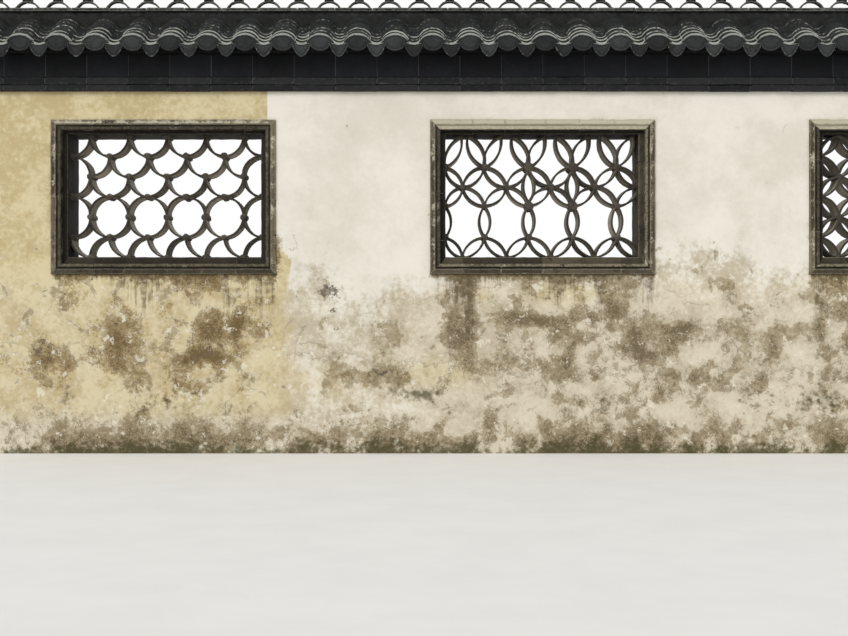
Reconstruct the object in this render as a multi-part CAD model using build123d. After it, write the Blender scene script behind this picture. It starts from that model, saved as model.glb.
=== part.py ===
from build123d import *
import math
import os

os.makedirs("parts", exist_ok=True)

# Wall body in millimetres. Length runs along X, the front looks towards -Y.
bay_pitch = 2200.0
bay_count = 3
wall_length = bay_pitch * bay_count
wall_thickness = 280.0
wall_top = 2100.0
half_length = wall_length / 2
half_wall = wall_thickness / 2

# Window frames of moulded brick, measured over their outer edge.
frame_width = 1305.0
frame_height = 896.0
frame_bottom = 1041.0
jamb_face = 90.0
head_face = 80.0
sill_face = 100.0
fillet_width = 30.0
groove_width = 10.0
bead_width = 20.0
fillet_proud = 14.0
groove_proud = 3.0
bead_proud = 11.0
lining_setback = 28.0
frame_top = frame_bottom + frame_height
opening_width = frame_width - 2 * jamb_face
opening_bottom = frame_bottom + sill_face
opening_top = frame_top - head_face
opening_height = opening_top - opening_bottom

# Lattices of curved tiles set on edge and bedded in mortar knots.
lattice_depth = 130.0
tile_thickness = 12.0
arc_steps = 3
lens_fullness = 0.18
knot_radius = 19.0
pair_knot_radius = 30.0
wave_pitches = 5
wave_levels = 6
petal_pitches = 5
petal_levels = 3
bloom_columns = 4
bloom_pitch = 0.2305 * opening_width
bloom_first_column = -0.2945 * opening_width
bloom_splay = 0.085 * opening_width
bloom_row_one = opening_top - 0.256 * opening_height
bloom_row_two = opening_top - 0.419 * opening_height
bloom_row_three = opening_top - 0.575 * opening_height
bloom_row_four = opening_top - 0.834 * opening_height

# Courses between the plaster and the roof.
string_height = 75.0
string_proud = 35.0
fascia_height = 140.0
fascia_proud = 20.0
eaves_height = 15.0
eaves_proud = 90.0
string_top = wall_top + string_height
fascia_top = string_top + fascia_height
eaves_top = fascia_top + eaves_height

# Roof slopes: pan troughs between cover tiles.
roof_overhang = 155.0
roof_half = half_wall + roof_overhang
roof_edge = 12.0
roof_rise = 140.0
row_count = 31
row_pitch = wall_length / row_count
pan_gap = 57.0
cover_half = (row_pitch - pan_gap) / 2
cover_crown = 60.0
cover_steps = 4
trough_half = 14.0
pan_lip = 10.0
bed_overlap = 6.0
pan_level = eaves_top + roof_edge

# Eaves tiles hung on the slope ends.
plate_thickness = 12.0
plate_steps = 3
plate_gap = 2.0
plaque_half = 50.0
plaque_drop = 40.0
drip_half = row_pitch / 2 - plaque_half - plate_gap
drip_drop = 75.0

# Ridge with a row of arched tiles.
ridge_half = 80.0
ridge_base_height = 98.0
ridge_course_height = 20.0
ridge_course_proud = 12.0
arch_count = 37
arch_pitch = wall_length / arch_count
arch_gap = 30.0
arch_rise = 54.0
arch_steps = 4
arch_thickness = 9.0
arch_depth = 40.0
arch_bed = 7.0
arch_pad = 30.0
arch_pad_half = 26.0
cap_course_height = 30.0
cap_course_half = 75.0
cap_half = 62.0
cap_height = 42.0
ridge_seat = pan_level + roof_rise
ridge_base_top = ridge_seat + ridge_base_height
ridge_course_top = ridge_base_top + ridge_course_height
arch_top = ridge_course_top + arch_bed + arch_rise + arch_pad
cap_course_top = arch_top + cap_course_height


def block(x_from, x_to, y_from, y_to, z_from, z_to):
    size = Box(x_to - x_from, y_to - y_from, z_to - z_from)
    return Pos((x_from + x_to) / 2, (y_from + y_to) / 2, (z_from + z_to) / 2) * size


def face_xz(points):
    return Plane.XZ * Polygon(*points, align=None)


def prism_y(points, y_from, y_to):
    solid = extrude(face_xz(points), amount=y_to - y_from, dir=(0, 1, 0))
    return Pos(0, y_from, 0) * solid


def prism_x(points, x_from, x_to):
    face = Plane.YZ * Polygon(*points, align=None)
    return Pos(x_from, 0, 0) * extrude(face, amount=x_to - x_from, dir=(1, 0, 0))


def save(name, shape):
    export_step(shape, "parts/" + name + ".step")


def back_of(shape):
    return mirror(shape, about=Plane.XZ)


# Wall body split below, beside and above the openings.
def wall_pieces():
    pieces = {}
    pieces["lower_wall"] = block(-half_length, half_length, -half_wall, half_wall, 0, frame_bottom)
    pieces["upper_wall"] = block(-half_length, half_length, -half_wall, half_wall, frame_top, wall_top)
    side = bay_pitch - frame_width / 2
    middle = frame_width / 2
    spans = {
        "left_end_pier": (-half_length, -side - frame_width),
        "left_pier": (-side, -middle),
        "right_pier": (middle, side),
        "right_end_pier": (side + frame_width, half_length),
    }
    for name, span in spans.items():
        pieces[name] = block(span[0], span[1], -half_wall, half_wall, frame_bottom, frame_top)
    return pieces


def ring(inset_from, depth, inset_to):
    half = frame_width / 2
    outer = block(-half + inset_from, half - inset_from, -depth, depth,
                  frame_bottom + inset_from, frame_top - inset_from)
    inner = block(-half + inset_to, half - inset_to, -depth - 1, depth + 1,
                  frame_bottom + inset_to, frame_top - inset_to)
    return outer - inner


def frame_ring():
    groove_start = fillet_width
    bead_start = groove_start + groove_width
    lining_start = bead_start + bead_width
    half = frame_width / 2
    inner_half = opening_width / 2
    lining_depth = half_wall - lining_setback
    lining = block(-half + lining_start, half - lining_start, -lining_depth, lining_depth,
                   frame_bottom + lining_start, frame_top - lining_start)
    opening = block(-inner_half, inner_half, -half_wall, half_wall, opening_bottom, opening_top)
    fillet = ring(0, half_wall + fillet_proud, groove_start)
    groove = ring(groove_start, half_wall + groove_proud, bead_start)
    bead = ring(bead_start, half_wall + bead_proud, lining_start)
    return fillet + groove + bead + (lining - opening)


# Each frame is one moulded ring cut into head, sill and two jambs.
def frame_pieces():
    whole = frame_ring()
    half = frame_width / 2
    reach = wall_thickness
    head_zone = block(-half, half, -reach, reach, opening_top, frame_top)
    sill_zone = block(-half, half, -reach, reach, frame_bottom, opening_bottom)
    left_zone = block(-half, 0, -reach, reach, opening_bottom, opening_top)
    right_zone = block(0, half, -reach, reach, opening_bottom, opening_top)
    return {
        "head": whole & head_zone,
        "sill": whole & sill_zone,
        "left_jamb": whole & left_zone,
        "right_jamb": whole & right_zone,
    }


# Points of a lens made by two facing arcs of one radius about centres set apart.
def lens_points(start, end, radius, offset):
    dx = end[0] - start[0]
    dz = end[1] - start[1]
    chord = math.hypot(dx, dz)
    ux = dx / chord
    uz = dz / chord
    cx = (start[0] + end[0]) / 2
    cz = (start[1] + end[1]) / 2
    reach = math.acos(offset / radius)
    points = []
    for side in (1, -1):
        for step in range(arc_steps):
            angle = side * (-reach + 2 * reach * step / arc_steps)
            along = radius * math.sin(angle) * side * side
            out = side * (radius * math.cos(angle) - offset)
            points.append((cx + along * ux - out * uz, cz + along * uz + out * ux))
    return points


def lens_pair(start, end, sagitta):
    chord = math.dist(start, end)
    radius = (chord * chord / 4 + sagitta * sagitta) / (2 * sagitta)
    offset = radius - sagitta
    outer = lens_points(start, end, radius + tile_thickness / 2, offset)
    inner = lens_points(start, end, radius - tile_thickness / 2, offset)
    return face_xz(outer), face_xz(inner)


# A lump of mortar where tiles meet, its corners towards the tiles.
def knot(point, radius, turn=0.0):
    corners = []
    for step in range(4):
        angle = math.radians(turn + 90 * step)
        corners.append((point[0] + radius * math.cos(angle), point[1] + radius * math.sin(angle)))
    return face_xz(corners)


def opening_face():
    half = opening_width / 2
    return face_xz([(-half, opening_bottom), (half, opening_bottom), (half, opening_top), (-half, opening_top)])


# Fuses the outlines, takes the eyes out of the lenses and trims everything to the opening.
def lattice_from(outlines, eyes):
    flat = outlines[0] + outlines[1:]
    if eyes:
        flat = flat - eyes
    flat = flat & opening_face()
    solid = extrude(flat, amount=lattice_depth / 2, both=True)
    return solid


def lens_lattice(spans, knots, turn=0.0):
    outlines = [knot(point, radius, turn) for point, radius in knots]
    eyes = []
    for start, end in spans:
        outer, inner = lens_pair(start, end, lens_fullness * math.dist(start, end))
        outlines.append(outer)
        eyes.append(inner)
    return lattice_from(outlines, eyes)


def petal_lattice():
    half_x = opening_width / (2 * petal_pitches)
    half_z = opening_height / (2 * petal_levels)
    left = -opening_width / 2
    spans = []
    knots = []
    for column in range(2 * petal_pitches):
        for row in range(2 * petal_levels):
            x_near = left + column * half_x
            z_near = opening_bottom + row * half_z
            if (column + row) % 2:
                spans.append(((x_near, z_near), (x_near + half_x, z_near + half_z)))
            else:
                spans.append(((x_near, z_near + half_z), (x_near + half_x, z_near)))
    for column in range(2 * petal_pitches + 1):
        for row in range(2 * petal_levels + 1):
            if (column + row) % 2:
                knots.append(((left + column * half_x, opening_bottom + row * half_z), knot_radius))
    return lens_lattice(spans, knots, math.degrees(math.atan2(half_z, half_x)))


def bloom_lattice():
    spans = []
    knots = []
    edge = -opening_width / 2
    middle = bloom_first_column - bloom_pitch / 2
    columns = [(edge, None, middle)]
    for index in range(bloom_columns):
        x = bloom_first_column + index * bloom_pitch
        columns.append((x, x - bloom_pitch / 2, x + bloom_pitch / 2))
    for index, (x, left, right) in enumerate(columns):
        paired = index in (2, 3)
        size = pair_knot_radius if paired else knot_radius
        knots += [((x, bloom_row_one), size), ((x, bloom_row_three), size), ((x, bloom_row_four), knot_radius)]
        knots += [((right, bloom_row_two), knot_radius), ((right, opening_bottom), knot_radius)]
        spans.append(((x, bloom_row_three), (x, bloom_row_four)))
        if paired:
            spans.append(((x, bloom_row_one - knot_radius), (x, bloom_row_three + knot_radius)))
        for side in (left, right):
            if side is None:
                continue
            splay = bloom_splay if side > x else -bloom_splay
            spans.append(((x, bloom_row_one), (x + splay, opening_top)))
            spans.append(((x, bloom_row_one), (side, bloom_row_two)))
            spans.append(((side, bloom_row_two), (x, bloom_row_three)))
            spans.append(((x, bloom_row_four), (side, opening_bottom)))
    return lens_lattice(spans, knots)


# Quarter arc about a centre, bulging away from it towards the given corner.
def quarter_band(centre, radius_x, radius_z, sign_x, sign_z):
    outer = []
    inner = []
    half = tile_thickness / 2
    for step in range(arc_steps + 1):
        angle = math.pi / 2 * step / arc_steps
        c = math.cos(angle) * sign_x
        s = math.sin(angle) * sign_z
        outer.append((centre[0] + (radius_x + half) * c, centre[1] + (radius_z + half) * s))
        inner.append((centre[0] + (radius_x - half) * c, centre[1] + (radius_z - half) * s))
    inner.reverse()
    return face_xz(outer + inner)


# Level by level: quarter tiles centred on a column line (0) or a mid line (1), hanging (-1) or arching (1).
def wave_tiles():
    half_x = opening_width / (2 * wave_pitches)
    level = opening_height / wave_levels
    last = 2 * wave_pitches
    tiles = []
    for row, (phase, sign) in enumerate([(0, -1), (1, -1), (0, -1), (0, 1), (0, -1)]):
        for column in range(phase, last + 1, 2):
            for side in (1, -1):
                if row == 1 and column + side in (0, last):
                    tiles.append((column + side, row + 1, -side, 1))
                else:
                    tiles.append((column, row if sign < 0 else row + 1, side, sign))
    foot = wave_levels - 1
    for column in range(1, last, 2):
        tiles.append((column, foot, -1, -1))
        tiles.append((column + 1, foot + 1, -1, 1))
    left = -opening_width / 2
    return [quarter_band((left + column * half_x, opening_top - row * level), half_x, level, side, sign)
            for column, row, side, sign in tiles]


def wave_lattice():
    half_x = opening_width / (2 * wave_pitches)
    level = opening_height / wave_levels
    outlines = wave_tiles()
    for row in range(wave_levels + 1):
        for column in range(1 - row % 2, 2 * wave_pitches + 1, 2):
            outlines.append(knot((column * half_x - opening_width / 2, opening_top - row * level), knot_radius))
    return lattice_from(outlines, [])


def course_pieces():
    return {
        "string_course": block(-half_length, half_length, -half_wall - string_proud, 0, wall_top, string_top),
        "fascia": block(-half_length, half_length, -half_wall - fascia_proud, 0, string_top, fascia_top),
        "eaves_course": block(-half_length, half_length, -half_wall - eaves_proud, 0, fascia_top, eaves_top),
    }


def cover_centres():
    return [-half_length + (index + 0.5) * row_pitch for index in range(row_count)]


slope_run = roof_half - ridge_half
slope_length = math.hypot(slope_run, roof_rise)
slope_direction = (0, slope_run / slope_length, roof_rise / slope_length)


def along_slope(points):
    solid = extrude(face_xz(points), amount=slope_length, dir=slope_direction)
    return Pos(0, -roof_half, 0) * solid


def roof_slope():
    half_pitch = row_pitch / 2
    top = [(-half_length, pan_level)]
    for x in cover_centres():
        top.append((x - half_pitch + trough_half, pan_level))
        top.append((x - cover_half, pan_level + pan_lip))
        top.append((x + cover_half, pan_level + pan_lip))
        top.append((x + half_pitch - trough_half, pan_level))
    top.append((half_length, pan_level))
    top.append((half_length, eaves_top))
    top.append((-half_length, eaves_top))
    pans = along_slope(top)
    wedge = prism_x([
        (-roof_half, eaves_top),
        (-roof_half, pan_level - bed_overlap),
        (-ridge_half, ridge_seat - bed_overlap),
        (-ridge_half, ridge_seat),
        (0, ridge_seat),
        (0, eaves_top),
    ], -half_length, half_length)
    return pans + wedge


# Points of an arc over a chord, from its right end to its left end, with its highest points at the rise.
def arc_over(x, half_chord, base, rise, steps):
    radius = (half_chord * half_chord + rise * rise) / (2 * abs(rise))
    reach = math.asin(half_chord / radius)
    angles = [reach - 2 * reach * step / steps for step in range(steps + 1)]
    heights = [math.cos(angle) - math.cos(reach) for angle in angles]
    lift = rise / max(heights)
    return [(x + radius * math.sin(angle), base + lift * height) for angle, height in zip(angles, heights)]


def cover_arc(x):
    return arc_over(x, cover_half, pan_level + pan_lip, cover_crown - pan_lip, cover_steps)


def cover_tiles():
    return [along_slope(cover_arc(x)) for x in cover_centres()]


def hung_plate(points):
    return prism_y(points, -roof_half - plate_thickness, -roof_half)


# Pointed plates under the pans, hollowed on top to the line of the trough.
def drip_tiles():
    plates = []
    for index in range(row_count + 1):
        x = -half_length + index * row_pitch
        shoulder = pan_level - drip_drop * 0.55
        shape = hung_plate([
            (x + drip_half, pan_level + pan_lip - plate_gap),
            (x + trough_half, pan_level),
            (x - trough_half, pan_level),
            (x - drip_half, pan_level + pan_lip - plate_gap),
            (x - drip_half * 0.7, shoulder),
            (x, pan_level - drip_drop),
            (x + drip_half * 0.7, shoulder),
        ])
        if index in (0, row_count):
            shape = shape & block(-half_length, half_length, -roof_half - wall_thickness, 0, 0, ridge_seat)
        plates.append(shape)
    return plates


# Shield-shaped plates that close the ends of the cover rows.
def eaves_end_tiles():
    plates = []
    for x in cover_centres():
        outline = arc_over(x, cover_half, pan_level + pan_lip, cover_crown - pan_lip, plate_steps)
        outline.append((x - plaque_half, pan_level + pan_lip))
        outline.append((x - plaque_half * 0.66, pan_level - plaque_drop * 0.72))
        outline.append((x, pan_level - plaque_drop))
        outline.append((x + plaque_half * 0.66, pan_level - plaque_drop * 0.72))
        outline.append((x + plaque_half, pan_level + pan_lip))
        plates.append(hung_plate(outline))
    return plates


# A row of arched tiles on a strip of mortar, with a block of mortar on each crown.
def arch_row():
    half = (arch_pitch - arch_gap) / 2
    foot = ridge_course_top + arch_bed
    crown = foot + arch_rise
    strip = [(-half_length, ridge_course_top), (half_length, ridge_course_top), (half_length, foot), (-half_length, foot)]
    faces = []
    for index in range(arch_count):
        x = -half_length + (index + 0.5) * arch_pitch
        outer = arc_over(x, half, foot, arch_rise, arch_steps)
        inner = arc_over(x, half - arch_thickness, foot, arch_rise - arch_thickness, arch_steps)
        inner.reverse()
        faces.append(face_xz(outer + inner))
        faces.append(face_xz([
            (x - arch_pad_half, crown - arch_thickness),
            (x + arch_pad_half, crown - arch_thickness),
            (x + arch_pad_half, arch_top),
            (x - arch_pad_half, arch_top),
        ]))
    row = face_xz(strip) + faces
    return extrude(row, amount=arch_depth / 2, both=True)


def ridge_pieces():
    pieces = {}
    course_half = ridge_half + ridge_course_proud
    pieces["ridge_base"] = block(-half_length, half_length, -ridge_half, ridge_half, ridge_seat, ridge_base_top)
    pieces["ridge_course"] = block(-half_length, half_length, -course_half, course_half,
                                   ridge_base_top, ridge_course_top)
    pieces["ridge_arches"] = arch_row()
    pieces["ridge_cap_course"] = block(-half_length, half_length, -cap_course_half, cap_course_half,
                                       arch_top, cap_course_top)
    cap = [(cap_half * math.cos(math.pi * step / 6), cap_course_top + cap_height * math.sin(math.pi * step / 6))
           for step in range(7)]
    pieces["ridge_cap"] = prism_x(cap, -half_length, half_length)
    return pieces


def main():
    for name, shape in wall_pieces().items():
        save(name, shape)
    frames = frame_pieces()
    lattices = {"left": wave_lattice(), "centre": bloom_lattice(), "right": petal_lattice()}
    for index, bay in enumerate(lattices):
        shift = Pos((index - 1) * bay_pitch, 0, 0)
        for name, shape in frames.items():
            save(bay + "_" + name, shift * shape)
        save(bay + "_lattice", shift * lattices[bay])
    coping = course_pieces()
    coping["roof_slope"] = roof_slope()
    coping["cover_tiles"] = Compound(children=cover_tiles())
    coping["drip_tiles"] = Compound(children=drip_tiles())
    coping["eaves_end_tiles"] = Compound(children=eaves_end_tiles())
    for name, shape in coping.items():
        save("front_" + name, shape)
        save("back_" + name, back_of(shape))
    for name, shape in ridge_pieces().items():
        save(name, shape)


main()
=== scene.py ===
import functools
import itertools
import math

import bmesh
import bpy
import numpy as np
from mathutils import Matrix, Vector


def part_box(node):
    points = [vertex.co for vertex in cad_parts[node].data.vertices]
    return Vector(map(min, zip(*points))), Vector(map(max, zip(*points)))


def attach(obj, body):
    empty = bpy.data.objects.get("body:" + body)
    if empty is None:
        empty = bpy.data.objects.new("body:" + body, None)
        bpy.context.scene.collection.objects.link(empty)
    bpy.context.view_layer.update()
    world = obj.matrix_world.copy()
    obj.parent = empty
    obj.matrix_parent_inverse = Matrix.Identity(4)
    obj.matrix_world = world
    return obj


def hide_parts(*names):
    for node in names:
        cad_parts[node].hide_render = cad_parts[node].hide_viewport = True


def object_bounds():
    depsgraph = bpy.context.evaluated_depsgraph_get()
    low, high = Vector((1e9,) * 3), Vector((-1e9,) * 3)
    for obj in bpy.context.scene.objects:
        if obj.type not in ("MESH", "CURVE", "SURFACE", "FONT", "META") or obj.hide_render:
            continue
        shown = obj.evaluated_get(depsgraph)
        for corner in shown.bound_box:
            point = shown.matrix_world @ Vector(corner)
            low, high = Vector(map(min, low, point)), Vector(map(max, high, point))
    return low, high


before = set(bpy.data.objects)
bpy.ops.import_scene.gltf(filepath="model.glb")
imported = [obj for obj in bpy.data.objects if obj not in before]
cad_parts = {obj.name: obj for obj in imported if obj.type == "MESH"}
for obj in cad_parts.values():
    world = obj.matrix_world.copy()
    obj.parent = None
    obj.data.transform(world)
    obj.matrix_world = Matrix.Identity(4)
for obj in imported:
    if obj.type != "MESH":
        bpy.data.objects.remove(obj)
cadLow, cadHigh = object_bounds()
print("frame loaded with", len(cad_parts), "nodes")

calmBevels = 5  # a face runs plain from this many bevels behind its arris
biteFrom = 0.2  # noise stronger than this bites into an arris
rubbedEdge = 0.8  # wear beside an arris, which itself has 1
tiny = 1e-6
materials = {}
effects = {}


def boxOf(*nodes):  # lowest and highest corner round one or more nodes
    corners = np.array([[tuple(corner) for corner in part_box(node)] for node in nodes])
    return corners[:, 0].min(axis=0), corners[:, 1].max(axis=0)


def bothSides(seed):  # the front and the back of the wall, each with its direction and its random numbers
    for index, (side, sign) in enumerate((("front", -1), ("back", 1))):
        yield side, sign, np.random.default_rng(seed + index)


def paint(seen):  # a colour as it is seen, its parts from 0 to 255
    return (*(((part / 255 + 0.055) / 1.055) ** 2.4 for part in seen), 1.0)


def joined(x, y, z):  # points from their three parts, each spread over the whole grid
    return np.stack(np.broadcast_arrays(x, y, z), axis=-1)


def softNoise(points, size, seed=0):  # smooth noise from -1 to 1, its lumps about as wide as size
    place = np.asarray(points) / size
    cell = np.floor(place).astype(np.int64)
    share = place - cell
    share = share * share * (3 - 2 * share)
    total = np.zeros(place.shape[:-1])
    for corner in itertools.product((0, 1), repeat=3):
        x, y, z = np.moveaxis(cell + corner, -1, 0)
        mixed = x * 73856093 ^ y * 19349663 ^ z * 83492791  # large odd numbers scatter the cells
        mixed = (mixed ^ (seed + 1) * 668265263) * 1274126177
        mixed = (mixed ^ (mixed >> 15)) * 461845907
        height = ((mixed >> 11) & 65535) / 32767.5 - 1
        total += height * np.prod(np.where(corner, share, 1 - share), axis=-1)
    return total


def noiseOnAxes(points, size, seed):
    return np.stack([softNoise(points, size, seed + axis) for axis in range(3)], axis=-1)


def scaledNoise(points, kind, seed):  # noise of a given strength and size
    strength, size = kind
    return strength * softNoise(points, size, seed)


def perRing(values):  # a value for each ring of a sweep
    return np.array(values)[:, None]


def steps(value, low, high):  # smooth rise from 0 to 1 between low and high
    share = np.clip((value - low) / (high - low), 0, 1)
    return share * share * (3 - 2 * share)


def arcOver(half, rise):  # radius of an arc and its half angle, over a chord of twice half
    radius = (half ** 2 + rise ** 2) / (2 * rise)
    return radius, math.asin(min(1.0, half / radius))


@functools.lru_cache(maxsize=None)
def sweepFaces(stations, around, stripCaps=False):  # faces of a closed section carried along a line
    start = (np.arange(stations - 1) * around)[:, None]
    here = np.arange(around)[None, :]
    after = (here + 1) % around
    ring = [start + here, start + after, start + around + after, start + around + here]
    cap = here
    if stripCaps:
        pair = np.arange(around // 2 - 1)
        cap = np.stack([pair, pair + 1, around - 2 - pair, around - 1 - pair], axis=-1)
    return np.stack(ring, axis=-1).reshape(-1, 4), cap, cap + (stations - 1) * around


# Gathers the points, faces and surface values of one piece.
class Shape:
    def __init__(self, valueNames=("wear", "tone", "lime", "soot")):
        self.points = []
        self.faces = []
        self.total = 0
        self.values = {name: [] for name in valueNames}

    def add(self, points, faces, **values):
        self.points.append(points.reshape(-1, 3))
        for group in faces:
            self.faces.extend((group + self.total).tolist())
        for name, stored in self.values.items():
            stored.append(np.broadcast_to(values.get(name, 0.0), points.shape[:-1]).reshape(-1))
        self.total += points[..., 0].size

    def sweep(self, points, stripCaps=False, **values):  # rings of points, joined and closed at both ends
        self.add(points, sweepFaces(*points.shape[:2], stripCaps), **values)


def makePiece(name, shape, slotName, *nodes, sharp=38):
    mesh = bpy.data.meshes.new(name)
    mesh.from_pydata(np.clip(np.concatenate(shape.points), cadLow, cadHigh), [], shape.faces)
    tidy = bmesh.new()
    tidy.from_mesh(mesh)
    bmesh.ops.recalc_face_normals(tidy, faces=tidy.faces)
    tidy.to_mesh(mesh)
    tidy.free()
    for title, stored in shape.values.items():
        layer = mesh.attributes.new(title, "FLOAT", "POINT")
        layer.data.foreach_set("value", np.concatenate(stored).astype(np.float32))
    mesh.shade_smooth()
    mesh.set_sharp_from_angle(angle=math.radians(sharp))
    mesh.materials.append(materials[slotName])
    piece = bpy.data.objects.new(name, mesh)
    bpy.context.scene.collection.objects.link(piece)
    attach(piece, "root")
    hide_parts(*nodes)


def weather(points, wear, look):  # uneven faces, and bites out of the arrises
    inward = points.mean(axis=1, keepdims=True) - points
    inward /= np.maximum(np.linalg.norm(inward, axis=-1, keepdims=True), tiny)
    knocks = softNoise(points, look["chipSize"], look["seed"] + 5)
    bite = np.clip(knocks - biteFrom, 0, 1) * wear * look["chip"]
    uneven = noiseOnAxes(points, look["unevenSize"], look["seed"]) * look["uneven"]
    return points + uneven + inward * bite[..., None]


def plateSection(halfWidth, halfThick, bevel):  # rows of across, out and wear round a plate
    calm = min(calmBevels * bevel, halfWidth * 0.5)
    rim, plain = halfWidth - bevel, halfWidth - calm
    side = [(plain, halfThick, 0), (rim, halfThick, 1), (halfWidth, halfThick - bevel, 1)]
    if halfThick > 2 * calm:
        side += [(halfWidth, halfThick - calm, 0), (halfWidth, calm - halfThick, 0)]
    else:
        side += [(halfWidth, 0, 0.5)]
    side += [(halfWidth, bevel - halfThick, 1), (rim, -halfThick, 1), (plain, -halfThick, 0)]
    side = np.array(side, float)
    return np.concatenate([side, side * (-1, -1, 1)])


def stationsAlong(start, end, look):  # places along a brick, close together at its ends, and their wear
    bevel = look["bevel"]
    calm = min(calmBevels * bevel, (end - start) * 0.25)
    count = max(2, round((end - start) / look["step"]))
    inner = np.linspace(start + calm, end - calm, count)
    places = np.concatenate([[start, start + bevel], inner, [end - bevel, end]])
    return places, np.concatenate([[1, rubbedEdge], np.zeros(count), [rubbedEdge, 1]])


def layBlock(shape, low, high, look, rng, bevel=None, **values):
    # a brick, a tile or a bed of mortar that fills a box and runs along the wall
    places, along = stationsAlong(low[0], high[0], look)
    middle = (low[1:] + high[1:]) / 2 + rng.normal(0, look["slip"], 2)
    section = plateSection(*(high[1:] - low[1:]) / 2, bevel or look["bevel"])
    points = joined(places[:, None], middle[0] + section[:, 0], middle[1] + section[:, 1])
    for ring in (0, -1):  # the bevel at each end
        inward = points[ring].mean(axis=0) - points[ring]
        reach = np.maximum(np.linalg.norm(inward, axis=-1, keepdims=True), tiny)
        points[ring] += inward / reach * np.minimum(look["bevel"], reach * 0.5)
    wear = np.maximum(section[:, 2], along[:, None])
    shape.sweep(weather(points, wear, look), wear=wear, tone=rng.uniform(0, 1), **values)


# Short ways to add and join shader nodes. Colours may be given as they are seen.
class Graph:
    def __init__(self, tree):
        self.tree = tree
        self.place = None
        self.colour = None

    def add(self, kind, **settings):
        node = self.tree.nodes.new("ShaderNode" + kind)
        for key, value in settings.items():
            setattr(node, key, value)
        return node

    def put(self, socket, value):
        if isinstance(value, bpy.types.NodeSocket):
            self.tree.links.new(value, socket)
        else:
            socket.default_value = value

    def fill(self, node, *values):  # values or links for the first sockets of a node
        for socket, value in zip(node.inputs, values):
            self.put(socket, value)
        return node.outputs[0]

    def give(self, node, values):  # values or links for sockets by their names
        for name, value in values.items():
            self.put(node.inputs[name], value)
        return node.outputs

    def math(self, operation, *values):
        return self.fill(self.add("Math", operation=operation), *values)

    def vector(self, operation, *values):
        return self.fill(self.add("VectorMath", operation=operation), *values)

    def times(self, first, second):
        return self.math("MULTIPLY", first, second)

    def plus(self, value, share, base):  # a share of the value on top of the base
        return self.math("MULTIPLY_ADD", value, share, base)

    def span(self, value, low, high, toLow=0.0, toHigh=1.0):
        node = self.add("MapRange", interpolation_type="SMOOTHSTEP")
        return self.fill(node, value, low, high, toLow, toHigh)

    def between(self, value, low, top, high):  # rises to the top and falls again
        return self.times(self.span(value, low, top), self.span(value, top, high, 1.0, 0.0))

    def mix(self, share, first, second):
        node = self.add("Mix", data_type="RGBA")
        self.put(node.inputs[0], share)
        for index, colour in ((6, first), (7, second)):
            self.put(node.inputs[index], paint(colour) if isinstance(colour, tuple) else colour)
        return node.outputs[2]

    def cover(self, mask, share, tint):  # lays a tint over the colour so far, where the mask lies
        self.colour = self.mix(self.times(mask, share), self.colour, tint)

    def where(self):  # place on the object, in metres
        if self.place is None:
            self.place = self.add("TexCoord").outputs["Object"]
        return self.place

    def noise(self, scale, detail=4.0, rough=0.55, warp=0.0, vector=None, colour=False):
        given = {"Vector": vector or self.where(), "Scale": scale, "Detail": detail, "Roughness": rough,
                 "Distortion": warp}
        return self.give(self.add("TexNoise"), given)[1 if colour else 0]

    def value(self, name):  # a value stored on the points of the mesh
        return self.add("Attribute", attribute_name=name).outputs["Fac"]

    def effect(self, name, **values):  # one of the shared effects, with this material's own values
        return self.give(self.add("Group", node_tree=effects[name]), values)


def surfaceGrain(graph, given):  # fired clay or lime: fine grain for bump, slow drift for tone
    slow = graph.times(given["Scale"], 0.11)
    return {"Height": graph.noise(given["Scale"], 7.0, 0.68), "Tone": graph.noise(slow, 4.0, 0.6)}


def edgeWear(graph, given):  # rubbed and knocked arrises, from the wear stored on the mesh
    broken = graph.math("SUBTRACT", graph.noise(given["Scale"], 5.0, 0.62), 0.5)
    rubbed = graph.span(graph.plus(given["Edge"], given["Amount"], broken), 0.28, 0.62)
    return {"Mask": graph.times(rubbed, graph.span(given["Edge"], 0.03, 0.35))}


def passing(graph, field, amount, soft):  # more of the field passes as the amount grows
    low = graph.plus(amount, -0.5, 0.76)
    return graph.span(field, low, graph.math("ADD", low, soft))


def patchyVeil(graph, given):  # patchy cover such as dirt, limewash or lichen
    fine = graph.noise(graph.times(given["Scale"], 6.0), 5.0, 0.65)
    broad = graph.noise(given["Scale"], 5.0, 0.6, 0.4)
    return {"Mask": passing(graph, graph.plus(fine, 0.38, graph.times(broad, 0.62)), given["Amount"], 0.12)}


def rainStreaks(graph, given):  # runs of rain down a face
    drawnOut = graph.vector("MULTIPLY", graph.where(), (1.0, 1.0, 0.06))
    field = graph.noise(given["Scale"], 5.0, 0.65, 0.15, drawnOut)
    return {"Mask": passing(graph, field, given["Amount"], 0.2)}


def hairCracks(graph, given):  # hair cracks that come and go
    wander = graph.noise(5.0, 6.0, 0.65, colour=True)
    bent = graph.vector("MULTIPLY_ADD", wander, (0.16, 0.16, 0.16), graph.where())
    cells = graph.add("TexVoronoi", feature="DISTANCE_TO_EDGE")
    distance = graph.give(cells, {"Vector": bent, "Scale": given["Scale"]})["Distance"]
    line = graph.span(distance, 0.0, given["Width"], 1.0, 0.0)
    return {"Mask": graph.times(line, passing(graph, graph.noise(3.1, 3.0), given["Amount"], 0.06))}


def upwardDustAndLight(graph, given):  # dust and growth on faces that look up; on the lattice tiles it is a painted highlight on their upper faces
    normal = graph.add("NewGeometry").outputs["Normal"]
    upward = graph.give(graph.add("SeparateXYZ"), {"Vector": normal})["Z"]
    field = passing(graph, graph.noise(given["Scale"], 6.0, 0.66), given["Amount"], 0.14)
    return {"Mask": graph.times(field, graph.span(upward, 0.05, 0.75))}


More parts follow.
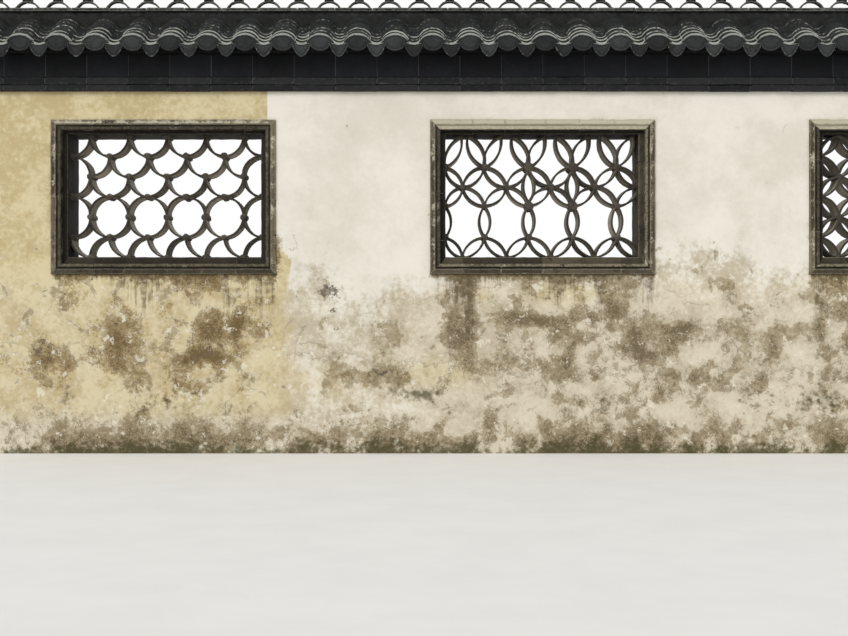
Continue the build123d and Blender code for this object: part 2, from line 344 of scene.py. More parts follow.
def buildEffect(build, inputs):  # a node group with named inputs and outputs
    tree = bpy.data.node_groups.new(build.__name__, "ShaderNodeTree")
    for title, default in inputs.items():
        socket = tree.interface.new_socket(name=title, in_out="INPUT", socket_type="NodeSocketFloat")
        socket.default_value = default
    graph = Graph(tree)
    made = build(graph, tree.nodes.new("NodeGroupInput").outputs)
    for title in made:
        tree.interface.new_socket(name=title, in_out="OUTPUT", socket_type="NodeSocketFloat")
    graph.give(tree.nodes.new("NodeGroupOutput"), made)
    effects[build.__name__] = tree


buildEffect(surfaceGrain, {"Scale": 90.0})
buildEffect(edgeWear, {"Edge": 0.0, "Scale": 60.0, "Amount": 0.6})
buildEffect(patchyVeil, {"Scale": 8.0, "Amount": 0.3})
buildEffect(rainStreaks, {"Scale": 30.0, "Amount": 0.4})
buildEffect(hairCracks, {"Scale": 2.0, "Width": 0.01, "Amount": 0.5})
buildEffect(upwardDustAndLight, {"Scale": 14.0, "Amount": 0.3})
print("shared effects built:", ", ".join(effects))


def newMaterial(name, look, build):  # the build sets the graph's colour and gives roughness and height
    material = bpy.data.materials.new(name)
    material.use_nodes = True
    material.node_tree.nodes.clear()
    graph = Graph(material.node_tree)
    roughness, height = build(graph, look)
    given = {"Base Color": graph.colour, "Roughness": roughness, "Specular IOR Level": look["specular"]}
    if height:
        bump = {"Strength": look["bump"], "Distance": look["bumpDepth"], "Height": height}
        given["Normal"] = graph.give(graph.add("Bump"), bump)[0]
    shader = graph.give(graph.add("BsdfPrincipled"), given)[0]
    graph.give(graph.add("OutputMaterial"), {"Surface": shader})
    return material


# Fired clay and mortar share one build, and each finish says where it differs from the base. Veils are given
# by their scale and amount, wear by its amount and how strongly it shows.
clayBase = {
    "grain": 120.0, "rough": 0.82, "roughPlay": 0.1, "specular": 0.2, "bump": 0.55, "bumpDepth": 0.0016,
    "upAmount": 0.3, "upScale": 18.0, "dirtShows": 0.8, "limeShows": 0.82, "upShows": 0.8,
    "toneShares": (0.5, 0.55), "tones": (0.12, 0.88), "limeGain": 1.1, "sootBreak": (0.1, 0.7, 1.0, 0.93),
    "wearScale": 0.5, "wearInSoot": (0.1, 1.0, 1.0, 0.3), "limeRelief": 0.35, "wornRelief": -0.3,
    "roughSpan": (0.3, 0.7),
}
clayLooks = {
    "frame_brick": {
        "dark": (60, 53, 42), "light": (118, 109, 90), "soot": (21, 17, 12), "dirt": (44, 37, 27),
        "worn": (148, 139, 116), "lime": (198, 192, 170), "up": (112, 106, 84), "upAmount": 0.40,
        "grain": 130.0, "wear": (0.62, 0.7), "dirtVeil": (11.0, 0.5), "limeVeil": (15.0, 0.08),
        "bump": 0.7, "specular": 0.25},
    # the lattice's up colour is a painted highlight on faces that look up
    "lattice_tile": {
        "dark": (108, 101, 87), "light": (172, 165, 148), "soot": (26, 21, 16), "dirt": (78, 70, 58),
        "worn": (120, 112, 96), "lime": (150, 143, 126), "up": (178, 172, 153), "upAmount": 0.55,
        "grain": 160.0, "wear": (0.30, 0.4), "dirtVeil": (13.0, 0.36), "limeVeil": (20.0, 0.12),
        "rough": 0.8, "bump": 0.6, "specular": 0.25},
    "dark_brick": {
        "dark": (22, 23, 24), "light": (42, 43, 43), "soot": (11, 11, 12), "dirt": (18, 18, 17),
        "worn": (96, 97, 93), "lime": (74, 74, 70), "up": (52, 54, 40), "upAmount": 0.25,
        "wear": (0.34, 0.5), "dirtVeil": (7.0, 0.4), "limeVeil": (12.0, 0.03),
        "rough": 0.78, "bump": 0.5, "specular": 0.15},
    "facing_tile": {
        "dark": (13, 14, 17), "light": (26, 27, 31), "soot": (8, 8, 9), "dirt": (19, 19, 19),
        "worn": (66, 68, 68), "lime": (66, 67, 66), "up": (38, 40, 32), "upAmount": 0.1,
        "grain": 110.0, "wear": (0.3, 0.45), "dirtVeil": (5.0, 0.34), "limeVeil": (9.0, 0.0),
        "rough": 0.66, "bump": 0.3, "specular": 0.18},
    # on the roof the worn colour serves both for worn tile ends and for a painted highlight on them
    "roof_tile": {
        "dark": (18, 19, 20), "light": (41, 43, 42), "soot": (11, 11, 11), "dirt": (18, 18, 16),
        "worn": (176, 178, 169), "lime": (128, 129, 120), "up": (64, 66, 48),
        "wear": (0.85, 0.9), "dirtVeil": (9.0, 0.46), "limeVeil": (24.0, 0.16), "bump": 0.6},
    # on the eaves plates the worn colour is also a painted highlight along the top rims
    "eaves_tile": {
        "dark": (29, 30, 30), "light": (60, 62, 62), "soot": (15, 15, 15), "dirt": (25, 25, 22),
        "worn": (158, 161, 154), "lime": (108, 107, 99), "up": (60, 62, 44),
        "grain": 130.0, "wear": (0.74, 0.8), "dirtVeil": (12.0, 0.45), "limeVeil": (22.0, 0.12),
        "rough": 0.78},
    "ridge_mortar": {
        "dark": (24, 25, 26), "light": (52, 52, 51), "soot": (15, 15, 15), "dirt": (25, 24, 22),
        "worn": (92, 91, 84), "lime": (84, 82, 74), "up": (58, 58, 42), "upAmount": 0.4,
        "grain": 80.0, "wear": (0.4, 0.45), "dirtVeil": (6.0, 0.5), "limeVeil": (9.0, 0.12),
        "rough": 0.88, "bump": 0.8},
    "ridge_tile": {
        "dark": (34, 35, 36), "light": (76, 77, 76), "soot": (18, 18, 18), "dirt": (26, 25, 22),
        "worn": (152, 152, 143), "lime": (116, 114, 104), "up": (66, 68, 46), "upAmount": 0.32,
        "wear": (0.6, 0.8), "dirtVeil": (9.0, 0.42), "limeVeil": (20.0, 0.16)},
}


def buildClay(graph, look):
    grain = graph.effect("surfaceGrain", Scale=look["grain"])
    soot = graph.value("soot")
    ownShare, driftShare = look["toneShares"]
    tone = graph.plus(graph.value("tone"), ownShare, graph.times(grain["Tone"], driftShare))
    graph.colour = graph.mix(graph.span(tone, *look["tones"]), look["dark"], look["light"])
    scale, amount = look["dirtVeil"]
    graph.cover(graph.effect("patchyVeil", Scale=scale, Amount=amount)[0], look["dirtShows"], look["dirt"])
    scale, amount = look["limeVeil"]
    limed = graph.plus(graph.value("lime"), look["limeGain"], amount)
    lime = graph.effect("patchyVeil", Scale=scale, Amount=limed)[0]
    graph.cover(lime, look["limeShows"], look["lime"])
    # soot and painted shade: linings, soffits, grooves, laps and hollows are painted dark where shade falls
    graph.cover(soot, graph.span(grain["Tone"], *look["sootBreak"]), look["soot"])
    amount, shows = look["wear"]
    scale = look["grain"] * look["wearScale"]
    worn = graph.effect("edgeWear", Edge=graph.value("wear"), Scale=scale, Amount=amount)[0]
    # wear is held back where soot and painted shade lie, so the shaded parts stay dark
    worn = graph.times(worn, graph.span(soot, *look["wearInSoot"]))
    graph.cover(worn, shows, look["worn"])
    upFacingCover = graph.effect("upwardDustAndLight", Scale=look["upScale"], Amount=look["upAmount"])[0]
    graph.cover(upFacingCover, look["upShows"], look["up"])
    rough, play = look["rough"], look["roughPlay"]
    height = graph.plus(worn, look["wornRelief"], graph.plus(lime, look["limeRelief"], grain["Height"]))
    return graph.span(grain["Height"], *look["roughSpan"], rough - play, rough + play), height


# Lime plaster: limewash over a cream coat, with mould, runs, flakes and cracks.
plasterLook = {
    "white": (230, 225, 213), "shade": (215, 209, 196), "creamLight": (211, 198, 160),
    "creamDark": (188, 171, 128), "agedLight": (210, 199, 176), "agedDark": (182, 170, 144),
    "wash": (166, 153, 124), "washCream": (186, 168, 122), "fleck": (226, 219, 200),
    "peeled": (166, 152, 122), "peeledDark": (128, 114, 86), "mould": (132, 117, 90),
    "mouldCream": (122, 99, 60), "deepMould": (90, 77, 54), "deepMouldCream": (86, 67, 38),
    "run": (88, 74, 52), "coat": (146, 138, 122), "coatDark": (92, 85, 74), "crack": (118, 108, 88),
    "moss": (70, 66, 38), "specular": 0.3, "bump": 0.55, "bumpDepth": 0.0028,
    # noises: scale, detail, roughness and distortion
    "slow": (1.6, 5.0, 0.6, 0.3), "middle": (5.0, 8.0, 0.66, 0.2), "fine": (34.0, 9.0, 0.72),
    "specks": (105.0, 6.0, 0.7), "islands": (7.5, 10.0, 0.64, 0.5), "crumbs": (16.0, 7.0, 0.68, 0.1),
    "trowel": (13.0, 3.0, 0.5, 1.2),
    # covers: how much of the middle and the fine noise breaks them up, where they begin and are full,
    # and how strongly they show
    "driftCover": (0.5, 0.34, 0.36, 0.70, 1.0), "creamCover": (0.9, 0.0, 0.3, 0.62, 1.0),
    "agedCover": (1.6, 1.2, 0.3, 0.8, 0.85), "washCover": (1.7, 0.0, 0.15, 1.0, 0.55),
    "bareCover": (1.5, 1.5, 0.52, 0.57, 0.85), "mossCover": (1.6, 1.2, 0.4, 0.8, 0.8),
    # moulds: share of the fine noise, fall with the damp, where they begin, softness, how they show
    "mouldField": (0.5, -0.36, 0.69, 0.07, 0.55), "deepMouldField": (0.3, -0.30, 0.762, 0.06, 0.68),
    "peeledShows": 0.62, "liftedShows": 0.5, "lipShows": 0.4, "crackShows": 0.5,
    "streakScale": 42.0, "crackScale": 2.3, "crackWidth": 0.009,
    # spans: where a change begins and is full, and for some how strong it is at both ends. The lift span
    # lays a painted highlight along the rims of the peeled patches, and the lip span a painted shadow line
    # along the ledge.
    "mottleNoise": 0.7, "mottle": (0.36, 0.64), "creamInAged": 0.7, "warm": (0.2, 0.8),
    "islandNoise": 0.30, "peel": (0.665, 0.69), "peelAge": (0.02, 0.2), "lift": (0.655, 0.675, 0.70),
    "under": (0.36, 0.62), "fleckCrumbs": (0.60, 0.63), "fleckAge": (0.2, 0.9, 0.0, 0.7),
    "streakAmount": 0.66, "streakBreak": (0.36, 0.58, 0.3, 1.0), "runShows": (0.04, 0.5, 0.0, 0.75),
    "brick": (0.4, 0.6), "lipNoises": (0.9, 1.6), "lip": (-0.05, 0.0, 0.05), "lipStep": (-0.02, 0.03),
    "crackAmount": (0.22, 0.24), "roughness": (0.3, 0.7, 0.86, 0.97),
    # how far the fine and the trowel noise stand out, then bare and peeled patches, flecks, cracks, the lip
    "noiseRelief": (0.35, 0.5), "relief": (-0.8, -0.5, 0.4, -0.5, 0.7),
}


def buildPlaster(graph, look):
    age, dampAndShade, runs, cream = (graph.value(name) for name in ("age", "dampAndShade", "run", "cream"))
    noises = ("slow", "middle", "fine", "specks", "islands", "crumbs", "trowel")
    slow, middle, fine, specks, islands, crumbs, trowel = (graph.noise(*look[name]) for name in noises)
    middleOff, fineOff = (graph.math("SUBTRACT", noise, 0.5) for noise in (middle, fine))

    def layCover(name, field, tint):  # a cover with a broken outline
        middleShare, fineShare, low, high, shows = look[name + "Cover"]
        broken = graph.plus(fineOff, fineShare, graph.plus(middleOff, middleShare, field))
        mask = graph.span(broken, low, high)
        graph.cover(mask, shows, tint)
        return mask

    graph.colour = look["white"]
    layCover("drift", slow, look["shade"])
    mottle = graph.span(graph.plus(fineOff, look["mottleNoise"], middle), *look["mottle"])
    creamy = graph.mix(mottle, look["creamLight"], look["creamDark"])
    layCover("cream", cream, creamy)
    aged = graph.mix(mottle, look["agedLight"], look["agedDark"])
    layCover("aged", age, graph.mix(graph.times(cream, look["creamInAged"]), aged, creamy))
    # the denser the damp, the more limewash has peeled to the undercoat, and the more mould shows; the same
    # field carries the painted shade beside the frames and the painted shadow under the sills
    warm = graph.span(cream, *look["warm"])
    layCover("wash", dampAndShade, graph.mix(warm, look["wash"], look["washCream"]))
    density = graph.plus(middleOff, look["washCover"][0], dampAndShade)
    peel = graph.plus(density, look["islandNoise"], islands)
    # a pale rim along the edges of the peeled patches, a painted highlight
    peelRimHighlight = graph.between(peel, *look["lift"])
    peel = graph.times(graph.span(peel, *look["peel"]), graph.span(age, *look["peelAge"]))
    under = graph.mix(graph.span(fine, *look["under"]), look["peeled"], look["peeledDark"])
    graph.cover(peel, look["peeledShows"], under)
    graph.cover(peelRimHighlight, look["liftedShows"], look["fleck"])
    for name in ("mould", "deepMould"):
        fineShare, fall, start, soft, shows = look[name + "Field"]
        spread = graph.plus(fine, fineShare, graph.times(specks, 1 - fineShare))
        low = graph.plus(density, fall, start)
        mask = graph.span(spread, low, graph.math("ADD", low, soft))
        graph.cover(mask, shows, graph.mix(warm, look[name], look[name + "Cream"]))
    fleck = graph.times(graph.span(crumbs, *look["fleckCrumbs"]), graph.span(age, *look["fleckAge"]))
    graph.cover(fleck, 1.0, look["fleck"])
    amount = graph.times(runs, look["streakAmount"])
    run = graph.effect("rainStreaks", Scale=look["streakScale"], Amount=amount)[0]
    run = graph.times(run, graph.span(fine, *look["streakBreak"]))
    graph.cover(run, graph.span(runs, *look["runShows"]), look["run"])
    brick = graph.mix(graph.span(fine, *look["brick"]), look["coat"], look["coatDark"])
    bare = layCover("bare", graph.value("flake"), brick)
    fineShare, middleShare = look["lipNoises"]
    ledge = graph.plus(fineOff, fineShare, graph.plus(middleOff, middleShare, graph.value("coat")))
    # a painted shadow line along the ledge where the thicker coat ends
    graph.cover(graph.between(ledge, *look["lip"]), look["lipShows"], look["crack"])
    amount = graph.plus(age, *look["crackAmount"])
    cracks = graph.effect("hairCracks", Scale=look["crackScale"], Width=look["crackWidth"], Amount=amount)[0]
    graph.cover(cracks, look["crackShows"], look["crack"])
    layCover("moss", graph.value("moss"), look["moss"])
    fineShare, trowelShare = look["noiseRelief"]
    height = graph.plus(fine, fineShare, graph.times(trowel, trowelShare))
    lip = graph.span(ledge, *look["lipStep"])
    for field, share in zip((bare, peel, fleck, cracks, lip), look["relief"]):
        height = graph.plus(field, share, height)
    return graph.span(fine, *look["roughness"]), height


for slotName, clayLook in clayLooks.items():
    materials[slotName] = newMaterial(slotName + "_finish", {**clayBase, **clayLook}, buildClay)
materials["plaster"] = newMaterial("limePlaster", plasterLook, buildPlaster)
print("materials built:", len(materials))

bays = ("left", "centre", "right")
wallNodes = ("lower_wall", "upper_wall", "left_end_pier", "left_pier", "right_pier", "right_end_pier")
wallLow, wallHigh = boxOf(*wallNodes)
halfLength, halfWall = wallHigh[:2]
frames = {bay: boxOf(bay + "_head", bay + "_sill") for bay in bays}

# Plaster skin, one grid on each face, joined round the ends and the openings. A top is a height above the
# ground and how far below it a thing comes to its full strength, and a noise is its strength and size.
skinLook = {
    "grid": 0.020, "arris": 0.006, "turns": (0.2, 0.5, 1.0), "sharp": 50, "wave": (0.0022, 0.55),
    "ripple": (0.0007, 0.09), "flakeDepth": 0.0014, "flakeNoise": (0.3, 0.05), "flakeSpan": (0.4, 0.6),
    "formShift": 7.0, "stainShift": 3.0,  # these set the noises of the front apart from those of the back
    "ageTop": (1.42, 0.65), "ageNoise": (0.16, 0.35), "dampTop": (0.42, 0.4), "mossTop": (0.22, 0.3),
    "patchNoise": (0.28, 0.17), "smallPatchNoise": (0.30, 0.075),
    "kept": (-1.15, 0.45, 0.35),  # where the limewash has kept better: place, reach and share
    # Beside each frame the plaster is darkened in a thin band as painted shade, and under each sill with
    # dirt and painted shadow.
    "stainDamp": 0.82, "ageDamp": 0.22, "footDamp": 0.5, "edgeDampAndShade": 0.3, "sillDampAndShadow": 0.45, "mostDamp": 1.15,
    "sillFall": ((1.0, 0.15), (0.9, 0.03)), "sillPast": 0.02, "sillSoft": 0.05, "sillUp": 0.01,
    "edgeReach": 0.014, "footMoss": 0.9, "sillRun": 0.6, "ageRun": 0.28,
    # the cream coat: where it ends over the left window and lower down, and how it fades out
    "creamEdge": (-1.60, -1.48), "creamTurn": (1.3, 0.2), "creamNoise": (0.03, 0.12), "creamTop": (1.6, 0.4),
    "creamFade": (0.014, 0.10), "creamBlur": (1.15, 0.4), "creamSoft": 0.6, "creamFoot": (0.1, 0.35),
    "creamShare": 0.95,
    # the ledge where the thicker coat ends: its height, and how it wanders, drops to the left and fades
    "ledge": 0.47, "ledgeNoise": (0.07, 0.45), "ledgeDrop": 0.12, "ledgeBend": (0.9, 1.2), "ledgeSoft": 0.22,
}

# Where the stains lie on the front: place along and up the wall, reach each way, strength.
stains = {
    "dampAndShade": [(-0.42, 0.8, 0.045, 0.3, 0.85), (-0.87, 0.77, 0.2, 0.22, 0.42), (-0.49, 0.69, 0.12, 0.2, 0.75),
             (-0.06, 0.775, 0.24, 0.05, 0.95), (0.25, 0.8, 0.15, 0.08, 0.85), (0.4, 0.79, 0.06, 0.12, 0.85),
             (0.05, 0.52, 0.18, 0.08, 0.85), (0.33, 0.58, 0.75, 0.28, 0.5), (0.77, 0.735, 0.17, 0.05, 0.85),
             (0.62, 0.57, 0.14, 0.07, 0.9), (0.95, 0.46, 0.35, 0.12, 0.65), (1.12, 0.66, 0.3, 0.24, 0.5),
             (1.95, 0.66, 0.5, 0.28, 0.55), (2.1, 0.9, 0.14, 0.1, 0.8), (1.62, 0.74, 0.06, 0.14, 0.75),
             (-1.545, 1.15, 0.05, 0.14, 0.8), (-1.93, 0.74, 0.08, 0.08, 1), (-1.78, 0.7, 0.04, 0.15, 0.95),
             (-1.97, 0.56, 0.16, 0.05, 1), (-2.42, 0.64, 0.12, 0.1, 0.75), (-2.75, 0.86, 0.08, 0.07, 0.75),
             (-2.6, 0.54, 0.5, 0.12, 0.45), (-1.22, 0.92, 0.1, 0.14, 0.3), (2.75, 0.7, 0.4, 0.24, 0.5),
             (-1, 0.44, 0.3, 0.07, 0.55)],
    "run": [(-0.42, 0.84, 0.05, 0.32, 0.9), (-0.48, 0.95, 0.09, 0.12, 0.7), (0.1, 0.95, 0.04, 0.16, 0.7),
            (0.33, 0.94, 0.04, 0.14, 0.7), (0.62, 0.95, 0.05, 0.2, 0.65), (-1.62, 0.9, 0.08, 0.2, 0.6),
            (-1.84, 0.84, 0.03, 0.2, 0.75), (-2.3, 0.92, 0.12, 0.14, 0.6), (1.62, 0.86, 0.05, 0.22, 0.7),
            (2.05, 0.88, 0.2, 0.2, 0.65), (1.31, 0.98, 0.06, 0.14, 0.6), (2.7, 0.92, 0.1, 0.14, 0.6)],
    "flake": [(-1.216, 0.937, 0.085, 0.08, 0.62), (-1.216, 0.832, 0.07, 0.03, 0.6),
              (-1.2, 0.716, 0.045, 0.03, 0.6), (-0.95, 0.47, 0.2, 0.05, 0.36), (1.25, 0.5, 0.12, 0.05, 0.4),
              (-2.9, 0.62, 0.1, 0.08, 0.42), (0.35, 0.8, 0.12, 0.12, 0.38), (-1.9, 0.62, 0.16, 0.1, 0.34)],
    "moss": [(-0.74, 0.34, 0.24, 0.07, 0.65), (-1.54, 1.12, 0.04, 0.12, 0.45), (-2.3, 0.3, 0.6, 0.09, 0.5),
             (1.4, 0.3, 0.7, 0.11, 0.55), (0.2, 0.28, 0.6, 0.08, 0.5)],
    "cream": [(0.15, 0.92, 0.3, 0.08, 0.75), (-0.35, 0.92, 0.1, 0.07, 0.55), (-0.62, 0.47, 0.3, 0.12, 0.65),
              (-1.3, 0.42, 0.5, 0.14, 0.55), (0.9, 0.95, 0.25, 0.1, 0.3), (1.75, 0.98, 0.4, 0.09, 0.55)],
}


def stainAt(kind, x, z):
    total = np.zeros_like(x)
    for alongWall, up, wide, tall, strength in stains[kind]:
        reach = ((x - alongWall) / wide) ** 2 + ((z - up) / tall) ** 2
        total = np.maximum(total, strength * np.exp(-reach))
    return total


def downFrom(z, top):  # from 0 at a top to 1 where it has its full strength
    height, reach = top
    return steps(height - z, 0.0, reach)


def skinValues(x, z, front, look):
    trueX = x  # the cream coat goes round the left end
    if not front:  # the far face has its own stains, laid out the other way round
        x = -x
    spots = joined(x, look["stainShift"] * front, z)
    height, reach = look["ageTop"]
    age = steps(height - z + scaledNoise(spots, look["ageNoise"], 3), 0.0, reach)
    place, reach, share = look["kept"]
    age = age * (1 - share * np.exp(-((x - place) / reach) ** 2))
    patches = scaledNoise(spots, look["patchNoise"], 6) + scaledNoise(spots, look["smallPatchNoise"], 7)
    dampAndShade = look["stainDamp"] * stainAt("dampAndShade", x, z) + (look["ageDamp"] + patches) * age
    dampAndShade = dampAndShade + look["footDamp"] * downFrom(z, look["dampTop"])
    sill = edge = 0.0
    for low, high in frames.values():
        middle, half = (low + high) / 2, (high - low) / 2
        beside = np.abs(x - middle[0]) - half[0]
        below = low[2] - z
        drop = np.maximum(below, 0)
        fall = sum(share * np.exp(-drop / reach) for share, reach in look["sillFall"])
        under = steps(look["sillPast"] - beside, 0.0, look["sillSoft"]) * (below > -look["sillUp"])
        sill = np.maximum(sill, under * fall)
        outside = np.hypot(np.maximum(beside, 0), np.maximum(np.abs(z - middle[2]) - half[2], 0))
        edge = np.maximum(edge, np.exp(-outside / look["edgeReach"]))
    # a thin band of painted shade round each frame, and dirt with painted shadow under each sill
    dampAndShade = dampAndShade + look["edgeDampAndShade"] * edge + look["sillDampAndShadow"] * sill
    above, lower = look["creamEdge"]
    reach = above + (lower - above) * downFrom(z, look["creamTurn"])
    reach = reach + scaledNoise(spots, look["creamNoise"], 4) * downFrom(z, look["creamTop"])
    crisp, blurred = look["creamFade"]
    fade = crisp + blurred * downFrom(z, look["creamBlur"])
    soft = look["creamSoft"]
    coated = look["creamShare"] * steps((reach - trueX) / fade, -soft, soft) * steps(z, *look["creamFoot"])
    coat = z - look["ledge"] - scaledNoise(spots, look["ledgeNoise"], 5)
    coat = (coat - look["ledgeDrop"] * steps(-x, *look["ledgeBend"])) / look["ledgeSoft"]
    return {
        "age": age, "dampAndShade": np.minimum(dampAndShade, look["mostDamp"]),
        "run": stainAt("run", x, z) + look["sillRun"] * sill + look["ageRun"] * age,
        "flake": stainAt("flake", x, z),
        "moss": stainAt("moss", x, z) + look["footMoss"] * downFrom(z, look["mossTop"]),
        "cream": np.maximum(stainAt("cream", x, z), coated), "coat": np.clip(coat, -1, 1)}


def gridLines(low, high, step, breaks):
    marks = sorted({low, high, *breaks})
    lines = [np.linspace(a, b, max(1, round((b - a) / step)) + 1)[:-1] for a, b in zip(marks, marks[1:])]
    return np.concatenate([*lines, [high]])


def skinPoints(x, z, front, look):
    spots = joined(x, look["formShift"] * front, z)
    values = skinValues(x, z, front, look)
    swell = scaledNoise(spots, look["wave"], 11) + scaledNoise(spots, look["ripple"], 12)
    loose = values["flake"] + scaledNoise(spots, look["flakeNoise"], 13)
    swell -= look["flakeDepth"] * steps(loose, *look["flakeSpan"])
    arris = look["arris"]
    rounded = np.maximum(np.abs(x) - (halfLength - arris), 0)
    swell -= arris - np.sqrt(np.maximum(arris ** 2 - rounded ** 2, 0))
    return joined(x, (halfWall + swell) * (-1 if front else 1), z), values


def buildSkin(look):
    sides = [edge for low, high in frames.values() for edge in (low[0], high[0])]
    turns = [sign * (halfLength - look["arris"] * share) for sign in (-1, 1) for share in look["turns"]]
    xs = gridLines(-halfLength, halfLength, look["grid"], sides + turns)
    low, high = frames["centre"]
    zs = gridLines(wallLow[2], wallHigh[2], look["grid"], (low[2], high[2]))
    x, z = np.meshgrid(xs, zs, indexing="ij")
    front, frontValues = skinPoints(x, z, True, look)
    back, backValues = skinPoints(x, z, False, look)
    midX = (xs[:-1] + xs[1:])[:, None] / 2
    midZ = (zs[:-1] + zs[1:])[None, :] / 2
    kept = np.ones((len(xs) - 1, len(zs) - 1), bool)
    for low, high in frames.values():
        kept &= ~((midX > low[0]) & (midX < high[0]) & (midZ > low[2]) & (midZ < high[2]))
    index = np.arange(x.size).reshape(x.shape)
    far = index + x.size
    corners = [index[:-1, :-1], index[1:, :-1], index[1:, 1:], index[:-1, 1:]]
    ringed = np.pad(kept, 1)
    upright = ringed[1:, 1:-1] != ringed[:-1, 1:-1]
    level = ringed[1:-1, 1:] != ringed[1:-1, :-1]
    groups = [[corner[kept] for corner in corners],
              [corner[kept] + x.size for corner in corners],
              [lines[upright] for lines in (index[:, :-1], index[:, 1:], far[:, 1:], far[:, :-1])],
              [lines[level] for lines in (index[:-1], index[1:], far[1:], far[:-1])]]
    faces = np.concatenate([np.stack(group, axis=-1) for group in groups])
    used, renumbered = np.unique(faces, return_inverse=True)
    shape = Shape(tuple(frontValues))
    stored = {key: np.stack([frontValues[key], backValues[key]]).ravel()[used] for key in frontValues}
    points = np.stack([front, back]).reshape(-1, 3)[used]
    shape.add(points, [renumbered.reshape(-1, 4)], **stored)
    makePiece("wall_plaster", shape, "plaster", *wallNodes, sharp=look["sharp"])


buildSkin(skinLook)
print("plaster skin laid")

# Window frames of moulded brick: widths run in from the outer edge, heights out from the plaster.
frameLook = {
    "fillet": 0.030, "groove": 0.010, "bead": 0.020, "filletProud": 0.014, "grooveProud": 0.003,
    "beadProud": 0.011, "setback": 0.028, "bury": 0.020, "arris": 0.0022, "brick": 0.215, "spread": 0.035,
    "joint": 0.004, "recess": 0.0024, "bevel": 0.0016, "step": 0.03, "slip": 0.0008, "uneven": 0.0010,
    "unevenSize": 0.028, "chip": 0.009, "chipSize": 0.017, "seed": 21, "lip": 0.012, "lipLime": 0.78,
    "mortarLime": 0.42, "mortarSoot": 0.7, "middleGap": 0.001, "mitreGap": 0.2,
}
# How much soot and painted shade darkens each moulding, from the fillet in to the lining; the grooves and
# linings, darkest in the heads, are painted dark as shade.
frameShade = {"head": (0.0, 0.1, 0.0, 1.0), "sill": (0.5, 0.95, 0.3, 0.5),
              "left_jamb": (0.1, 0.8, 0.9, 1.0), "right_jamb": (0.1, 0.8, 0.85, 0.95),
              "centre_right_jamb": (0.1, 0.6, 0.3, 0.5), "left_head": (0.1, 0.8, 1.0, 1.0),
              "left_sill": (0.7, 0.95, 0.7, 0.85)}
# How far in from the outer edge limewash was brushed, and how much of it is left.
frameLime = {"head": (0.058, 0.95), "left_head": (0.026, 0.62), "sill": (0.03, 0.0), "jamb": (0.03, 0.42)}


def frameProfile(face, shade, look):
    # rows of inset, stand-out, wear, and soot with painted shade, closed through the middle of the wall
    a = look["fillet"]
    b = a + look["groove"]
    c = b + look["bead"]
    e = look["arris"]
    back, deepest = -look["setback"], look["middleGap"] - halfWall
    fillet, groove, bead = look["filletProud"], look["grooveProud"], look["beadProud"]
    plain, sunk, rounded, deep = shade
    return np.array([
        (0, -look["bury"], 0, plain), (0, fillet - e, 0.6, plain), (e, fillet, 1, plain),
        (4 * e, fillet, 0.1, plain), (a - 4 * e, fillet, 0.1, plain), (a - e, fillet, 1, plain),
        (a, fillet - e, 0.8, sunk), (a, groove, 0, sunk), (b, groove, 0, sunk),
        (b, bead - 2 * e, 0.3, sunk), (b + 2 * e, bead, 0.8, rounded), (c - 2 * e, bead, 0.8, rounded),
        (c, bead - 2 * e, 0.6, deep), (c, back + e, 0, deep), (c + e, back, 0, deep),
        (face - 3 * e, back, 0, deep), (face - e, back, 0.9, deep), (face, back - e, 0.8, deep),
        (face, back - 5 * e, 0, deep), (face, deepest, 0, deep), (a, deepest, 0, deep)], float)


def mitreAt(inset, mould, face, other):  # how far a side is cut back at its end, where it meets the next
    return np.minimum(inset, mould) + np.maximum(inset - mould, 0) * (other - mould) / (face - mould)


def layFrameBrick(shape, side, starts, stops, limewash, look, rng, mortar=False):
    # one brick on both faces of the wall, or the mortar behind all of them; its ends may follow a mitre
    origin, along, inward, profile = side
    inset, proud, wear, soot = profile.T
    slip = 0.0 if mortar else rng.normal(0, look["slip"])
    if mortar:
        inset = np.clip(inset, look["recess"], inset.max() - look["recess"])
        proud = proud - look["recess"]
        # the mortar takes a smaller share of the soot and painted shade than the bricks
        soot = soot * look["mortarSoot"]
    lime = limewash[1] * (inset <= limewash[0]) * np.where(inset < look["lip"], look["lipLime"], 1.0)
    length = float(np.median(stops - starts))
    places, worn = stationsAlong(0.0, length, look)
    far = starts + (stops - starts) * (places / length)[:, None]
    rubbed = np.maximum(wear, worn[:, None] * (wear > 0))
    for sign in (-1, 1):
        points = joined(origin[0] + along[0] * far + inward[0] * inset, sign * (halfWall + proud + slip),
                        origin[1] + along[1] * far + inward[1] * inset)
        if mortar:
            shape.sweep(points, tone=rng.uniform(0, 1), lime=np.maximum(lime, look["mortarLime"]), soot=soot)
        else:
            points = weather(points, rubbed, look)
            shape.sweep(points, wear=rubbed, tone=rng.uniform(0, 1), lime=lime, soot=soot)


